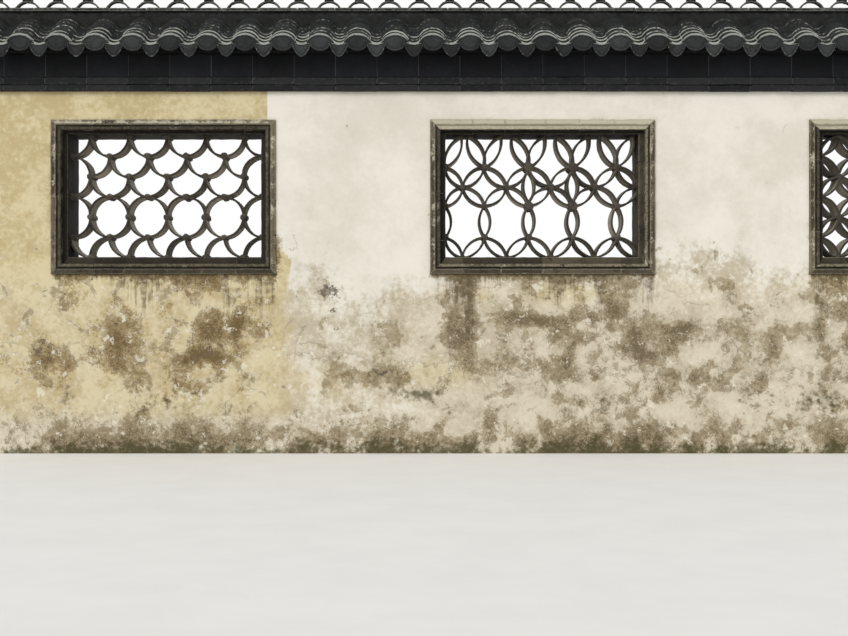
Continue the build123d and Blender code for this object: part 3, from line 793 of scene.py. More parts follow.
def buildFrames(look):
    mould = look["fillet"] + look["groove"] + look["bead"]
    gap = look["joint"] / 2
    for bayIndex, bay in enumerate(bays):
        low, high = frames[bay]
        openLow, openHigh = boxOf(bay + "_lattice")
        width, height = high[0] - low[0], high[2] - low[2]
        jambs, ends = ("left_jamb", "right_jamb"), ("sill", "head")
        layout = {  # width of the side, corner, direction along, direction in, length, next sides
            "head": (high[2] - openHigh[2], (low[0], high[2]), (1, 0), (0, -1), width, jambs),
            "sill": (openLow[2] - low[2], (low[0], low[2]), (1, 0), (0, 1), width, jambs),
            "left_jamb": (openLow[0] - low[0], (low[0], low[2]), (0, 1), (1, 0), height, ends),
            "right_jamb": (high[0] - openHigh[0], (high[0], low[2]), (0, 1), (-1, 0), height, ends),
        }
        for sideIndex, (name, (face, origin, along, inward, length, nextTo)) in enumerate(layout.items()):
            rng = np.random.default_rng(100 + 10 * bayIndex + sideIndex)
            title = f"{bay}_{name}"
            profile = frameProfile(face, frameShade.get(title, frameShade[name]), look)
            side = (origin, along, inward, profile)
            limewash = frameLime.get(title, frameLime[name.split("_")[-1]])
            cuts = [mitreAt(profile[:, 0], mould, face, layout[other][0]) for other in nextTo]
            mitreGap = look["joint"] * look["mitreGap"]
            first, last = cuts[0] + mitreGap, length - cuts[1] - mitreGap
            count = round(length / look["brick"])
            marks = np.linspace(0, length, count + 1)[1:-1]
            marks = marks + rng.uniform(-look["spread"], look["spread"], count - 1)
            shape = Shape()
            for start, stop in zip([first, *(marks + gap)], [*(marks - gap), last]):
                layFrameBrick(shape, side, start, stop, limewash, look, rng)
            layFrameBrick(shape, side, first, last, limewash, look, rng, mortar=True)
            makePiece(title + "_bricks", shape, "frame_brick", title)


buildFrames(frameLook)
print("window frames laid")

# Lattices of curved tiles set on edge in mortar.
latticeLook = {
    "thickness": 0.0125, "thicknessPlay": 0.0012, "inset": 0.002, "depthPlay": 0.002, "slip": 0.0012,
    "sagPlay": 0.06, "steps": 12, "bevel": 0.0018, "fullness": 0.18, "quarter": 0.2071,
    "uneven": 0.0009, "unevenSize": 0.035, "chip": 0.007, "chipSize": 0.016, "seed": 41,
    "knot": 0.020, "pairKnot": 0.030, "lump": 0.22, "lumpSize": 0.9, "knotSides": 12, "knotPlay": (0.9, 1.1),
    "knotPlaces": (-1, -0.95, -0.6, 0, 0.6, 0.95, 1), "knotBulk": (0.55, 0.9, 1, 0.94, 1, 0.9, 0.55),
    "mortarTone": 0.6, "mortarLime": 0.12, "mortarWear": 0.25, "mortarSoot": 0.82, "edgeSoot": 0.93,
    "edgeRim": 0.003, "overlap": 0.008,
}


def layCurvedTile(shape, start, end, sag, depth, look, rng, limits=None):
    # a curved tile seen on edge from start to end, bulging to the left of that line by sag
    start, end = (np.array(place) + rng.normal(0, look["slip"], 2) for place in (start, end))
    length = math.dist(start, end)
    along = (end - start) / length
    left = np.array([-along[1], along[0]])
    bulge = abs(sag) * (1 + rng.uniform(-look["sagPlay"], look["sagPlay"]))
    radius, reach = arcOver(length / 2, bulge)
    angle = np.linspace(-reach, reach, look["steps"] + 1)[:, None]
    side = math.copysign(1, sag)
    line = (start + end) / 2 + radius * np.sin(angle) * along
    line = line + side * (radius * np.cos(angle) - radius + bulge) * left
    out = np.sin(angle) * along + side * np.cos(angle) * left
    if limits is not None:
        inside = np.all((line > limits[0]) & (line < limits[1]), axis=1)
        line, out = line[inside], out[inside]
    if len(line) < 3:
        return
    halfThick = (look["thickness"] + rng.uniform(-1, 1) * look["thicknessPlay"]) / 2
    halfDepth = depth / 2 - look["inset"] + rng.uniform(-1, 0) * look["depthPlay"]
    across, thick, wear = plateSection(halfDepth, halfThick, look["bevel"]).T
    shift = rng.uniform(-1, 1) * look["depthPlay"] / 2
    points = joined(line[:, :1] + out[:, :1] * thick, across + shift, line[:, 1:] + out[:, 1:] * thick)
    # the front and back rims of each tile are painted dark as shade
    edges = (np.abs(across) > np.abs(across).max() - look["edgeRim"]) * look["edgeSoot"]
    shape.sweep(weather(points, wear, look), wear=wear, tone=rng.uniform(0, 1), soot=edges)


def layKnot(shape, at, radius, depth, look, rng):  # a lump of mortar where tiles meet
    places = perRing(look["knotPlaces"]) * (depth / 2 - look["inset"])
    bulk = perRing(look["knotBulk"]) * radius * rng.uniform(*look["knotPlay"])
    turn = np.linspace(0, 2 * math.pi, look["knotSides"], endpoint=False)
    points = joined(at[0] + bulk * np.cos(turn), places, at[1] + bulk * np.sin(turn))
    lumps = 1 + look["lump"] * softNoise(points, radius * look["lumpSize"], look["seed"] + 7)
    centre = points.mean(axis=1, keepdims=True)
    # the knots are darkened with soot and painted shade
    shape.sweep(centre + (points - centre) * lumps[..., None], tone=rng.uniform(0, look["mortarTone"]),
                lime=look["mortarLime"], wear=look["mortarWear"], soot=look["mortarSoot"])


def lensPair(start, end, look):  # two facing tiles
    sag = look["fullness"] * math.dist(start, end)
    return [(start, end, sag), (start, end, -sag)]


def petalPlan(low, high, look, pitches=5, levels=3):
    xs = np.linspace(low[0], high[0], 2 * pitches + 1)
    zs = np.linspace(low[1], high[1], 2 * levels + 1)
    tiles = []
    for column, row in itertools.product(range(2 * pitches), range(2 * levels)):
        rises = (column + row) % 2
        tiles += lensPair((xs[column], zs[row + 1 - rises]), (xs[column + 1], zs[row + rises]), look)
    meets = [pair for pair in itertools.product(range(len(xs)), range(len(zs))) if sum(pair) % 2]
    return tiles, [((xs[column], zs[row]), look["knot"]) for column, row in meets]


# Shares of the opening's width, and heights of the knots down from its top as shares of its height.
bloomLook = {"pitch": 0.2305, "first": 0.2945, "splay": 0.085, "knots": (0.256, 0.419, 0.575, 0.834)}


def bloomPlan(low, high, look, columns=4):
    width, height = high - low
    pitch, splay = bloomLook["pitch"] * width, bloomLook["splay"] * width
    first = (low[0] + high[0]) / 2 - bloomLook["first"] * width
    one, two, three, four = (high[1] - share * height for share in bloomLook["knots"])
    knot = look["knot"]
    tiles, knots = [], []
    stems = [(low[0], None, first - pitch / 2)]
    stems += [(first + index * pitch, first + (index - 0.5) * pitch, first + (index + 0.5) * pitch)
              for index in range(columns)]
    for index, (x, leftSide, rightSide) in enumerate(stems):
        paired = index in (2, 3)
        size = look["pairKnot"] if paired else knot
        knots += [((x, one), size), ((x, three), size), ((x, four), knot), ((rightSide, two), knot),
                  ((rightSide, low[1]), knot)]
        tiles += lensPair((x, three), (x, four), look)
        if paired:
            tiles += lensPair((x, one - knot), (x, three + knot), look)
        for side in (leftSide, rightSide):
            if side is None:
                continue
            lean = splay if side > x else -splay
            for start, end in (((x, one), (x + lean, high[1])), ((x, one), (side, two)),
                               ((side, two), (x, three)), ((x, four), (side, low[1]))):
                tiles += lensPair(start, end, look)
    return tiles, knots


def wavePlan(low, high, look, pitches=5, levels=6):
    # level by level: quarter tiles about a centre, to one side of it, hanging (-1) or arching (1)
    xs = np.linspace(low[0], high[0], 2 * pitches + 1)
    zs = np.linspace(high[1], low[1], levels + 1)
    last = 2 * pitches
    quarters = []
    for row, (start, sign) in enumerate([(0, -1), (1, -1), (0, -1), (0, 1), (0, -1)]):
        for column, side in itertools.product(range(start, last + 1, 2), (1, -1)):
            if row == 1 and column + side in (0, last):
                quarters.append((column + side, row + 1, -side, 1))
            else:
                quarters.append((column, row if sign < 0 else row + 1, side, sign))
    for column in range(1, last, 2):
        quarters += [(column, levels - 1, -1, -1), (column + 1, levels, -1, 1)]
    halfX, level = xs[1] - xs[0], zs[0] - zs[1]
    tiles = []
    for column, row, side, sign in quarters:
        x, z = xs[column], zs[row]
        start, end = (x + side * halfX, z), (x, z + sign * level)
        if low[0] - tiny < start[0] < high[0] + tiny:
            tiles.append((start, end, -side * sign * look["quarter"] * math.dist(start, end)))
    meets = [(column, row) for row in range(levels + 1) for column in range(1 - row % 2, last + 1, 2)]
    return tiles, [((xs[column], zs[row]), look["knot"]) for column, row in meets]


def buildLattices(look):
    for index, (bay, plan) in enumerate(zip(bays, (wavePlan, bloomPlan, petalPlan))):
        low, high = boxOf(bay + "_lattice")
        depth = high[1] - low[1]
        corners = (low[[0, 2]], high[[0, 2]])
        limits = (corners[0] - look["overlap"], corners[1] + look["overlap"])
        tiles, knots = plan(*corners, look)
        rng = np.random.default_rng(300 + index)
        shape = Shape()
        for start, end, sag in tiles:
            layCurvedTile(shape, start, end, sag, depth, look, rng, limits)
        for at, radius in knots:
            if np.all((at > limits[0]) & (at < limits[1])):
                layKnot(shape, at, radius, depth, look, rng)
        makePiece(bay + "_lattice_tiles", shape, "lattice_tile", bay + "_lattice")


buildLattices(latticeLook)
print("lattices laid")

# Courses under the roof. A lower share above 0 makes two layers of a course, the lower one set back. No
# tile at an end is shorter than the share of a tile in leastEnd.
courseLook = {
    "bevel": 0.002, "step": 0.04, "slip": 0.0007, "joint": 0.005, "recess": 0.003, "uneven": 0.0007,
    "unevenSize": 0.05, "chip": 0.006, "chipSize": 0.02, "seed": 61, "tile": 0.24, "phase": 0.0,
    "lowerShare": 0.0, "lowerBack": 0.007, "layerGap": 0.001, "leastEnd": 0.2,
}
stringLook = {**courseLook, "lowerShare": 0.46}
eavesLook = {**courseLook, "bevel": 0.0014, "tile": 0.2, "phase": 0.07, "slip": 0.0005, "uneven": 0.0005}


def tileSpans(low, high, look, gap=0.0):  # start and end of each tile along a course
    tile, phase, least = look["tile"], look["phase"], look["leastEnd"]
    first = math.ceil((low - phase) / tile + least)
    last = math.floor((high - phase) / tile - least)
    joints = [phase + tile * index for index in range(first, last + 1)]
    return zip([low, *(place + gap for place in joints)], [*(place - gap for place in joints), high])


def layCourse(shape, low, high, look, rng, **values):
    # bricks side by side from joint to joint, then the mortar a little behind their faces
    for start, end in tileSpans(low[0], high[0], look, look["joint"] / 2):
        layBlock(shape, np.array([start, *low[1:]]), np.array([end, *high[1:]]), look, rng, **values)
    recess = look["recess"]
    layBlock(shape, low + recess, high - recess, {**look, "slip": 0.0}, rng, lime=1.0)


def buildCourse(name, slotName, node, look, rng, sign=0, **values):
    # a course that fills the box of its node, and on one side of the wall begins at the wall's middle
    low, high = boxOf(node)
    if sign:
        (high if sign < 0 else low)[1] = 0.0
    layers = [(low[2], high[2], 0.0)]
    if look["lowerShare"]:
        split = low[2] + look["lowerShare"] * (high[2] - low[2])
        gap = look["layerGap"]
        layers = [(low[2], split - gap, look["lowerBack"]), (split + gap, high[2], 0.0)]
    shape = Shape()
    for bottom, top, back in layers:
        near = np.array([low[0], low[1] + back * (sign < 0), bottom])
        far = np.array([high[0], high[1] - back * (sign > 0), top])
        layCourse(shape, near, far, look, rng, **values)
    makePiece(name, shape, slotName, node)


for side, sign, rng in bothSides(500):
    buildCourse(side + "_string_bricks", "dark_brick", side + "_string_course", stringLook, rng, sign)
    buildCourse(side + "_fascia_tiles", "facing_tile", side + "_fascia", courseLook, rng, sign)
    # the eaves slabs under the overhang are painted dark as shade
    buildCourse(side + "_eaves_slabs", "dark_brick", side + "_eaves_course", eavesLook, rng, sign, soot=0.85)
print("courses laid")

# Roof tiles, lapped from the eaves to the ridge, one row of them for each entry of the rubbed-edge list; its
# values fall up the slope, a painted highlight on the lower rows and painted shade on the upper ones.
roofLook = {
    "covers": 31, "lap": 1.75, "thickness": 0.009, "edge": 0.0016, "coverSteps": 10, "panSteps": 8,
    "panRadius": 0.048, "panHalf": 0.037, "lip": 0.010, "crown": 0.050, "coverHalf": 0.078, "slip": 0.0012,
    "uneven": 0.0008, "unevenSize": 0.03, "chip": 0.007, "chipSize": 0.016, "seed": 81, "bedDrop": 0.006,
    "rubAndLight": (0.90, 0.70, 0.54, 0.40, 0.32, 0.30), "play": 0.35, "panSootAndShade": 0.5, "coverSootAndShade": 0.3,
    "endWear": (1, 0.9, 0, 0), "endPull": 0.8, "lapSootAndShade": 0.3, "ridgeLap": 0.015, "panDrop": 0.004,
    "bedSteps": 120,
}


def roofPlan(look):
    cover, slope, ridge = (boxOf(node) for node in ("front_cover_tiles", "front_roof_slope", "ridge_base"))
    eave, top = -slope[0][1], ridge[1][1]
    level = cover[0][2] - look["lip"]
    run, rise = eave - top, slope[1][2] - level
    length = math.hypot(run, rise)
    return {"pitch": 2 * halfLength / look["covers"], "eave": eave, "top": top, "level": level,
            "length": length, "ahead": run / length, "up": rise / length, "base": slope[0][2],
            "ridge": ridge[0][2]}


roof = roofPlan(roofLook)


def arcSection(radius, thickness, fromAngle, toAngle, count, turn):
    # rows of across, up and wear: the upper face, then the lower one back; turn is -1 for a hollow pan
    angle = np.linspace(fromAngle, toAngle, count + 1)
    edges = np.zeros(count + 1)
    edges[[0, -1]] = rubbedEdge
    upper, lower = (np.stack([size * np.sin(angle), turn * (size * np.cos(angle) - radius), edges], axis=-1)
                    for size in (radius, radius - turn * thickness))
    return np.concatenate([upper, lower[::-1]])


def laySlopeTile(look, sign, rng, start, length, rubAndLight, shape, x, height, section, soot):
    # one lapped tile: its lower end lies on the tile below, so it is lifted by a thickness
    edge = look["edge"]
    places = np.array([start, start + edge, start + 6 * edge, start + length])
    slip = rng.normal(0, look["slip"], 3)
    lift = look["thickness"] * (1 - (places - start) / length)[:, None]
    middle = (section + section[::-1])[:, :2] / 2
    pulled = np.repeat(section[None, :, :2], len(places), axis=0)
    pulled[0] += (middle - section[:, :2]) / (look["thickness"] / 2) * edge * look["endPull"]
    forward = (places + slip[2] * 2)[:, None]
    across = np.clip(x + slip[0] + pulled[..., 0], -halfLength, halfLength)
    points = joined(across, sign * (roof["eave"] - forward * roof["ahead"]),
                    height + slip[1] * 0.5 + pulled[..., 1] + (forward * roof["up"] + lift))
    wear = np.maximum(section[:, 2], perRing(look["endWear"]))
    points = weather(points, wear, look)
    points[..., 0] = np.clip(points[..., 0], -halfLength, halfLength)
    points[0, :, 1] = sign * np.minimum(np.abs(points[0, :, 1]), roof["eave"])
    # worn ends: wear with a painted highlight that dims row by row up the slope; the upper end of each tile,
    # under the next, is painted dark as shade
    rubAndLight = rubAndLight * rng.uniform(1 - look["play"], 1 + look["play"])
    shape.sweep(points, True, wear=wear * rubAndLight, tone=rng.uniform(0, 1),
                soot=perRing((0, 0, soot * look["lapSootAndShade"], soot)))


def buildRoof(look):
    exposure = roof["length"] / len(look["rubAndLight"])
    radius, reach = arcOver(look["coverHalf"], look["crown"])
    cover = arcSection(radius, look["thickness"], -reach, reach, look["coverSteps"], 1)
    panReach = math.asin(look["panHalf"] / look["panRadius"])
    crown = roof["level"] + look["lip"] + look["crown"] - look["thickness"]
    drop = look["bedDrop"]
    bed = np.array([(0.0, roof["base"]), (roof["eave"], roof["base"]), (roof["eave"], roof["level"] - drop),
                    (roof["top"], roof["ridge"] - drop), (0.0, roof["ridge"])])
    for side, sign, rng in bothSides(700):
        pans, covers = Shape(), Shape()
        along = np.linspace(-halfLength, halfLength, look["bedSteps"])[:, None]
        # the mortar bed under the tiles is darkened with soot and painted shade
        pans.sweep(joined(along, sign * bed[:, 0], bed[:, 1]), lime=0.3, soot=0.7, tone=0.3)
        for row, rubAndLight in enumerate(look["rubAndLight"]):
            start = row * exposure
            length = min(exposure * look["lap"], roof["length"] - start + look["ridgeLap"])
            lay = functools.partial(laySlopeTile, look, sign, rng, start, length, rubAndLight)
            for index in range(look["covers"] + 1):
                near, far = -panReach * (index > 0), panReach * (index < look["covers"])
                pan = arcSection(look["panRadius"], look["thickness"], near, far, look["panSteps"], -1)
                x = -halfLength + index * roof["pitch"]
                lay(pans, x, roof["level"] - look["panDrop"], pan, look["panSootAndShade"])
            for index in range(look["covers"]):
                lay(covers, -halfLength + (index + 0.5) * roof["pitch"], crown, cover, look["coverSootAndShade"])
        makePiece(side + "_pan_tiles", pans, "roof_tile", side + "_roof_slope")
        makePiece(side + "_cover_rows", covers, "roof_tile", side + "_cover_tiles")


buildRoof(roofLook)
print("roof tiles laid")

# Plates that hang at the eaves: drips under the pans, shields at the ends of the covers.
plateLook = {
    "rim": 0.0065, "arch": 0.012, "brow": 0.006, "hollow": 0.0034, "edge": 0.0014, "dripHalf": 0.0544,
    "dripDrop": 0.074, "shieldHalf": 0.056, "shieldDrop": 0.040, "points": 14, "turn": 0.02,
    "relief": 0.0018, "seed": 91, "uneven": 0.0005, "unevenSize": 0.02, "chip": 0.005, "chipSize": 0.014,
    "dripBack": 0.003, "dripHeart": -0.026, "shieldHeart": 0.012, "hollowSootAndShade": 0.6,
    "ringWear": (0.3, 1.0, 1.0, 0.75, 0.0), "lobes": 5, "lobeWear": 0.15, "leastArm": 0.1,
    "lobeRings": ((0.55, 1.0), (0.3, -1.0)),  # share of the hollow, and whether the lobes rise or sink
    "dripBend": (1.15, 1.25), "dripDip": 0.008, "dripRubAndLight": 0.42, "browHalf": 0.86, "browPoints": 9,
    "browDrop": 0.001, "cutMiddle": -0.03, "cutRubAndLight": 0.4, "cutHeart": 0.02,
    "shieldPoints": 23, "shieldTuck": 0.004, "shieldBend": 0.8, "shieldRubAndLight": 0.3, "archHighlightFade": 0.5,
}


def layPlate(shape, outline, heart, yBack, yFront, look, rng):
    # rings from the back edge round to the front, in over the rim and down into the hollow
    outline, rim, rubAndLight = outline[:, :2], outline[:, 2:3], outline[:, 3]
    arm = outline - heart
    reach = np.linalg.norm(arm, axis=1, keepdims=True)
    toward = math.copysign(1, yFront - yBack)
    edge = look["edge"]
    sunk = yFront - toward * look["hollow"]
    insets = (0.0, 0.0, edge, rim, rim + 2 * edge)
    depths = (yBack, yFront - toward * edge, yFront, yFront, sunk)
    turn = np.arctan2(arm[:, 1], arm[:, 0])
    points, wear = [], []
    for inset, y, worn in zip(insets, depths, look["ringWear"]):
        flat = heart + arm * np.maximum(1 - inset / reach, look["leastArm"])
        points.append(joined(flat[:, 0], y, flat[:, 1]))
        wear.append(worn * rubAndLight)
    hollow = points[-1][:, [0, 2]]
    for share, sense in look["lobeRings"]:
        flat = heart + (hollow - heart) * share
        y = sunk + toward * look["relief"] * (1 + sense * np.cos(look["lobes"] * turn))
        points.append(joined(flat[:, 0], y, flat[:, 1]))
        wear.append(np.full(len(flat), look["lobeWear"]))
    points, wear = np.array(points), np.array(wear)
    tilt = rng.normal(0, look["turn"])
    local = points[..., [0, 2]] - heart
    points[..., [0, 2]] = local + tilt * local[..., ::-1] * (-1, 1) + heart
    outer = max(abs(yBack), abs(yFront))
    limits = np.array([halfLength, outer, np.inf])
    points = np.clip(weather(points, wear, look), -limits, limits)
    # the hollow inside the rim is painted dark as shade
    soot = perRing((0, 0, 0, 0, look["hollowSootAndShade"], 0, 0))
    shape.sweep(points, wear=wear, tone=rng.uniform(0, 1), soot=soot)


def rimmed(points, rim, rubAndLight):  # outline points with the width of their rim and how bright it is rubbed, which on the top rims is also a painted highlight
    return np.column_stack([points, np.broadcast_to((rim, rubAndLight), (len(points), 2))])


def dripOutline(x, level, look, cut):
    # a pointed lower edge under a hollowed top; cut is -1 or 1 where the left or the right half is missing
    angle = np.linspace(0, math.pi / 2, look["points"])
    dip, (sideBend, endBend) = look["dripDip"], look["dripBend"]
    across = look["dripHalf"] * np.cos(angle) ** sideBend
    down = dip - (look["dripDrop"] + dip) * np.sin(angle) ** endBend
    right = rimmed(np.column_stack([across, down]), look["rim"], look["dripRubAndLight"])
    left = (right * (-1, 1, 1, 1))[::-1][1:]
    top = np.linspace(-look["browHalf"], look["browHalf"], look["browPoints"])
    hollow = np.column_stack([top * look["dripHalf"], dip * top ** 2 - look["browDrop"]])
    # the hollowed top is rubbed brightest, a painted highlight along the top edge
    hollow = rimmed(hollow, look["brow"], 1.0)
    outline = [right, left, hollow]
    middle = rimmed(np.array([(0.0, look["cutMiddle"])]), look["rim"], look["cutRubAndLight"])
    if cut < 0:
        outline = [right, middle, hollow[hollow[:, 0] >= -tiny]]
    if cut > 0:
        outline = [right[-1:] * (0, 1, 1, 1), left, hollow[hollow[:, 0] <= tiny], middle]
    return np.concatenate(outline) + (x, level, 0, 0)


def shieldOutline(x, level, look):  # the arch of the cover above a rounded plate
    half, crown, lip = roofLook["coverHalf"], roofLook["crown"], roofLook["lip"]
    radius, reach = arcOver(half, crown)
    angle = np.linspace(-reach, reach, look["points"])
    arch = np.column_stack([radius * np.sin(angle), lip + crown - radius + radius * np.cos(angle)])
    # the arch's rim is widest and brightest at the crown and dims to the sides, a painted highlight along
    # the top
    arch = rimmed(arch, look["rim"], 1.0)
    aside = np.abs(arch[:, 0]) / half
    arch[:, 2] += (look["arch"] - look["rim"]) * (1 - aside ** 2)
    arch[:, 3] -= look["archHighlightFade"] * aside ** 3
    angle = np.linspace(0, math.pi, look["shieldPoints"])
    top = lip - look["shieldTuck"]
    down = top - (look["shieldDrop"] + top) * np.sin(angle) ** look["shieldBend"]
    lower = np.column_stack([look["shieldHalf"] * np.cos(angle), down])
    return np.concatenate([arch, rimmed(lower, look["rim"], look["shieldRubAndLight"])]) + (x, level, 0, 0)


def buildPlates(look):
    low, high = boxOf("front_drip_tiles")
    count, pitch, level = roofLook["covers"], roof["pitch"], roof["level"]
    for side, sign, rng in bothSides(900):
        inner, outer = sign * roof["eave"], sign * (roof["eave"] + high[1] - low[1])
        drips, shields = Shape(), Shape()
        for index in range(count + 1):
            x = -halfLength + index * pitch
            cut = (index == count) - (index == 0)
            heart = np.array([x + look["cutHeart"] * cut, level + look["dripHeart"]])
            outline = dripOutline(x, level, look, cut)
            layPlate(drips, outline, heart, inner, outer - sign * look["dripBack"], look, rng)
        for index in range(count):
            x = -halfLength + (index + 0.5) * pitch
            heart = np.array([x, level + look["shieldHeart"]])
            layPlate(shields, shieldOutline(x, level, look), heart, inner, outer, look, rng)
        makePiece(side + "_drip_plates", drips, "eaves_tile", side + "_drip_tiles")
        makePiece(side + "_end_plates", shields, "eaves_tile", side + "_eaves_end_tiles")


buildPlates(plateLook)
print("eaves plates hung")

# Ridge: mortar base, thin course, a row of arched tiles, cap.
ridgeLook = {**courseLook, "bevel": 0.0018, "seed": 71, "tile": 0.22, "phase": 0.11}
baseLook = {**ridgeLook, "uneven": 0.004, "unevenSize": 0.07, "step": 0.03, "bevel": 0.005, "slip": 0.0,
            "inset": 0.004}
archLook = {**latticeLook, "thickness": 0.009, "thicknessPlay": 0.0008, "steps": 16, "inset": 0.001,
            "sagPlay": 0.02, "slip": 0.001, "bevel": 0.0014, "count": 37, "gap": 0.030, "rise": 0.054,
            "bed": 0.007, "padHalf": 0.026, "padInset": 0.002, "padBevel": 0.002, "footRadius": 0.013,
            "footLump": 0.0016, "footLumpSize": 0.012, "footSides": 9, "footPlay": (0.8, 1.15),
            "footPlaces": (-1, -0.93, 0, 0.93, 1), "footBulk": (0.7, 1, 0.95, 1, 0.7), "footIn": 0.003,
            "footSink": 0.002, "footTall": 1.1, "edgeSoot": 0.0, "seed": 75}
bedLook = {**ridgeLook, "slip": 0.0, "bevel": 0.001, "uneven": 0.0006}
padLook = {**bedLook, "uneven": 0.0018, "unevenSize": 0.02, "step": 0.012}
capLook = {**ridgeLook, "tile": 0.19, "phase": 0.05, "steps": 12, "lap": 0.02, "gap": 0.004, "edge": 0.002,
           "collar": 0.012, "swell": (0.9, 1, 0.9, 0.5, 0), "endWear": (1, 0.8, 0, 0, 0),
           "sideInset": 0.002, "topInset": 0.003}


def buildRidgeBase(rng):
    low, high = boxOf("ridge_base")
    inset = np.array([baseLook["inset"], baseLook["inset"], 0.0])
    shape = Shape()
    # the bed and the course under the arches are darkened with soot and painted shade
    layBlock(shape, low + inset, high - inset, baseLook, rng, soot=0.45)
    makePiece("ridge_bed", shape, "ridge_mortar", "ridge_base")
    buildCourse("ridge_course_tiles", "ridge_tile", "ridge_course", ridgeLook, rng, soot=0.7)


def layFoot(shape, x, foot, depth, look, rng):  # mortar squeezed up round the foot of an arch
    turn = np.linspace(0, math.pi, look["footSides"])
    bulk = look["footRadius"] * rng.uniform(*look["footPlay"])
    places = perRing(look["footPlaces"]) * (depth / 2 - look["inset"])
    size = perRing(look["footBulk"]) * bulk
    up = foot - look["footSink"] + size * look["footTall"] * np.sin(turn)
    points = joined(x + size * np.cos(turn), places, up)
    points = points + look["footLump"] * noiseOnAxes(points, look["footLumpSize"], look["seed"] + 1)
    shape.sweep(points, tone=rng.uniform(0, look["mortarTone"]), lime=0.1, soot=0.25)


def buildRidgeArches(look, rng):
    low, high = boxOf("ridge_arches")
    shape = Shape()
    depth = high[1] - low[1]
    foot = low[2] + look["bed"]
    edge = depth / 2 - look["inset"]
    bed = np.array([[low[0], -edge, low[2]], [high[0], edge, foot]])
    layBlock(shape, *bed, bedLook, rng, lime=0.2)
    pitch = (high[0] - low[0]) / look["count"]
    half = (pitch - look["gap"] - look["thickness"]) / 2
    padFoot = foot + look["rise"] - look["thickness"]
    padReach = np.array([look["padHalf"], depth / 2 - look["padInset"]])
    for index in range(look["count"]):
        x = low[0] + (index + 0.5) * pitch
        layCurvedTile(shape, (x + half, foot), (x - half, foot), look["thickness"] / 2 - look["rise"], depth,
                      look, rng)
        for side in (-1, 1):
            layFoot(shape, x + side * (half - look["footIn"]), foot, depth, look, rng)
        corners = [np.array([x + side * padReach[0], side * padReach[1], level])
                   for side, level in ((-1, padFoot), (1, high[2]))]
        # the pads under the cap are darkened with soot and painted shade
        layBlock(shape, *corners, padLook, rng, bevel=look["padBevel"], lime=0.1, soot=0.4)
    makePiece("ridge_arch_tiles", shape, "ridge_tile", "ridge_arches")


def buildRidgeCap(look, rng):
    buildCourse("ridge_cap_bricks", "ridge_tile", "ridge_cap_course", {**ridgeLook, "phase": 0.0}, rng)
    low, high = boxOf("ridge_cap")
    shape = Shape()
    turn = np.linspace(0, math.pi, look["steps"] + 1)
    wide, tall = high[1] - look["sideInset"], high[2] - low[2] - look["topInset"]
    for left, right in tileSpans(low[0], high[0], look):
        end = min(right + look["lap"] * (right < high[0]), high[0])
        places = np.array([left, left + look["edge"], left + look["collar"], (left + end) / 2, end])
        swell = perRing(look["swell"]) * look["gap"] - look["gap"]
        points = np.zeros((len(places), len(turn) + 2, 3))
        points[..., 0] = places[:, None]
        points[:, :-2, 1] = (wide + swell) * np.cos(turn)
        points[:, :-2, 2] = low[2] + (tall + swell) * np.sin(turn)
        points[:, -2:, 1] = np.array([-0.5, 0.5]) * wide
        points[:, -2:, 2] = low[2]
        wear = np.broadcast_to(perRing(look["endWear"]), points.shape[:2])
        points = weather(points, wear, look)
        points[..., [0, 2]] = np.clip(points[..., [0, 2]], low[[0, 2]], high[[0, 2]])
        shape.sweep(points, wear=wear, tone=rng.uniform(0, 1))
    makePiece("ridge_cap_tiles", shape, "ridge_tile", "ridge_cap")


buildRidgeBase(np.random.default_rng(1100))
buildRidgeArches(archLook, np.random.default_rng(1200))
buildRidgeCap(capLook, np.random.default_rng(1300))
print("ridge laid")

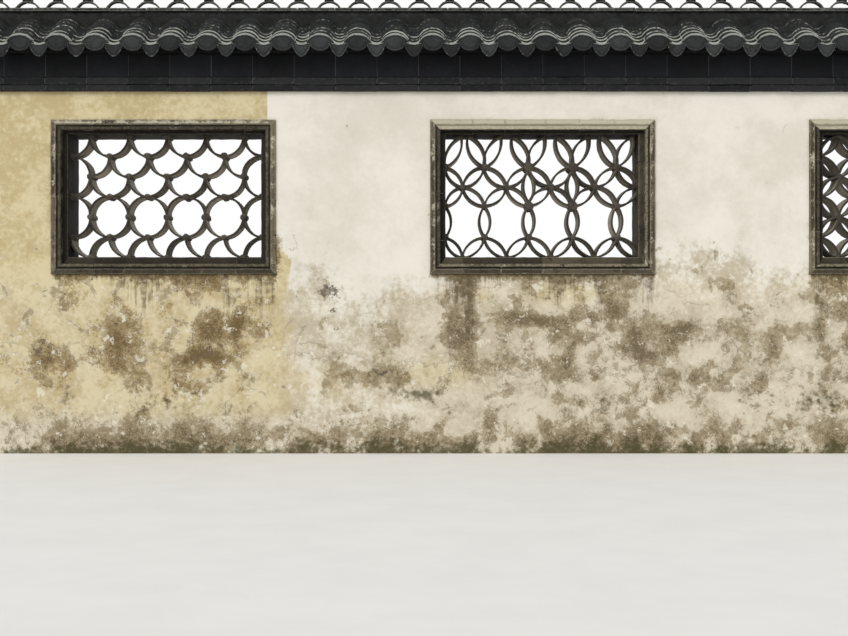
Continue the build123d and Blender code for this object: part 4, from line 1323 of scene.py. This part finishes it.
# Floor, light and camera.
stageLook = {
    "floor": 40.0, "floorPale": (236, 235, 231), "floorShade": (232, 231, 227), "specular": 0.2,
    "sky": (255, 255, 255), "ambient": 0.62, "sun": 1.7, "sunSpread": 38.0, "sunTurn": (52.0, 0.0, -24.0),
    "camera": (-0.688, -7.14, 0.786), "cameraTurn": (90.0, 0.0, 0.0), "lens": 51.2, "sensor": 36.0,
    "noise": (3.0, 6.0, 0.6), "shadeSpan": (0.3, 0.7), "roughness": (0.0, 1.0, 0.85, 0.95),
}


def buildFloorFinish(graph, look):
    shade = graph.span(graph.noise(*look["noise"]), *look["shadeSpan"])
    graph.colour = graph.mix(shade, look["floorPale"], look["floorShade"])
    return graph.span(shade, *look["roughness"]), None


def buildStage(look):
    half = look["floor"] / 2
    mesh = bpy.data.meshes.new("floor")
    corners = [(-half, -half, 0), (half, -half, 0), (half, half, 0), (-half, half, 0)]
    mesh.from_pydata(corners, [], [(0, 1, 2, 3)])
    mesh.materials.append(newMaterial("paleFloor", look, buildFloorFinish))
    floor = bpy.data.objects.new("floor", mesh)
    bpy.context.scene.collection.objects.link(floor)


def buildWorld(look):
    world = bpy.data.worlds.new("studio")
    bpy.context.scene.world = world
    world.use_nodes = True
    world.node_tree.nodes.clear()
    graph = Graph(world.node_tree)
    shown, ambient = (graph.fill(graph.add("Background"), paint(look["sky"]), strength)
                      for strength in (1.0, look["ambient"]))
    ray = graph.add("LightPath").outputs
    mirrored = graph.math("MAXIMUM", ray["Is Glossy Ray"], ray["Is Transmission Ray"])
    seen = graph.math("MAXIMUM", ray["Is Camera Ray"], mirrored)
    surface = graph.fill(graph.add("MixShader"), seen, ambient, shown)
    graph.give(graph.add("OutputWorld"), {"Surface": surface})


def inRadians(turns):
    return [math.radians(turn) for turn in turns]


def buildLightAndCamera(look):
    scene = bpy.context.scene
    sun = bpy.data.lights.new("softKey", "SUN")
    sun.energy = look["sun"]
    sun.angle = math.radians(look["sunSpread"])
    key = bpy.data.objects.new("softKey", sun)
    key.rotation_euler = inRadians(look["sunTurn"])
    scene.collection.objects.link(key)
    camera = bpy.data.objects.new("camera", bpy.data.cameras.new("camera"))
    camera.data.lens = look["lens"]
    camera.data.sensor_width = look["sensor"]
    camera.location = look["camera"]
    camera.rotation_euler = inRadians(look["cameraTurn"])
    scene.collection.objects.link(camera)
    scene.camera = camera
    scene.view_settings.view_transform = "Standard"


buildStage(stageLook)
buildWorld(stageLook)
buildLightAndCamera(stageLook)
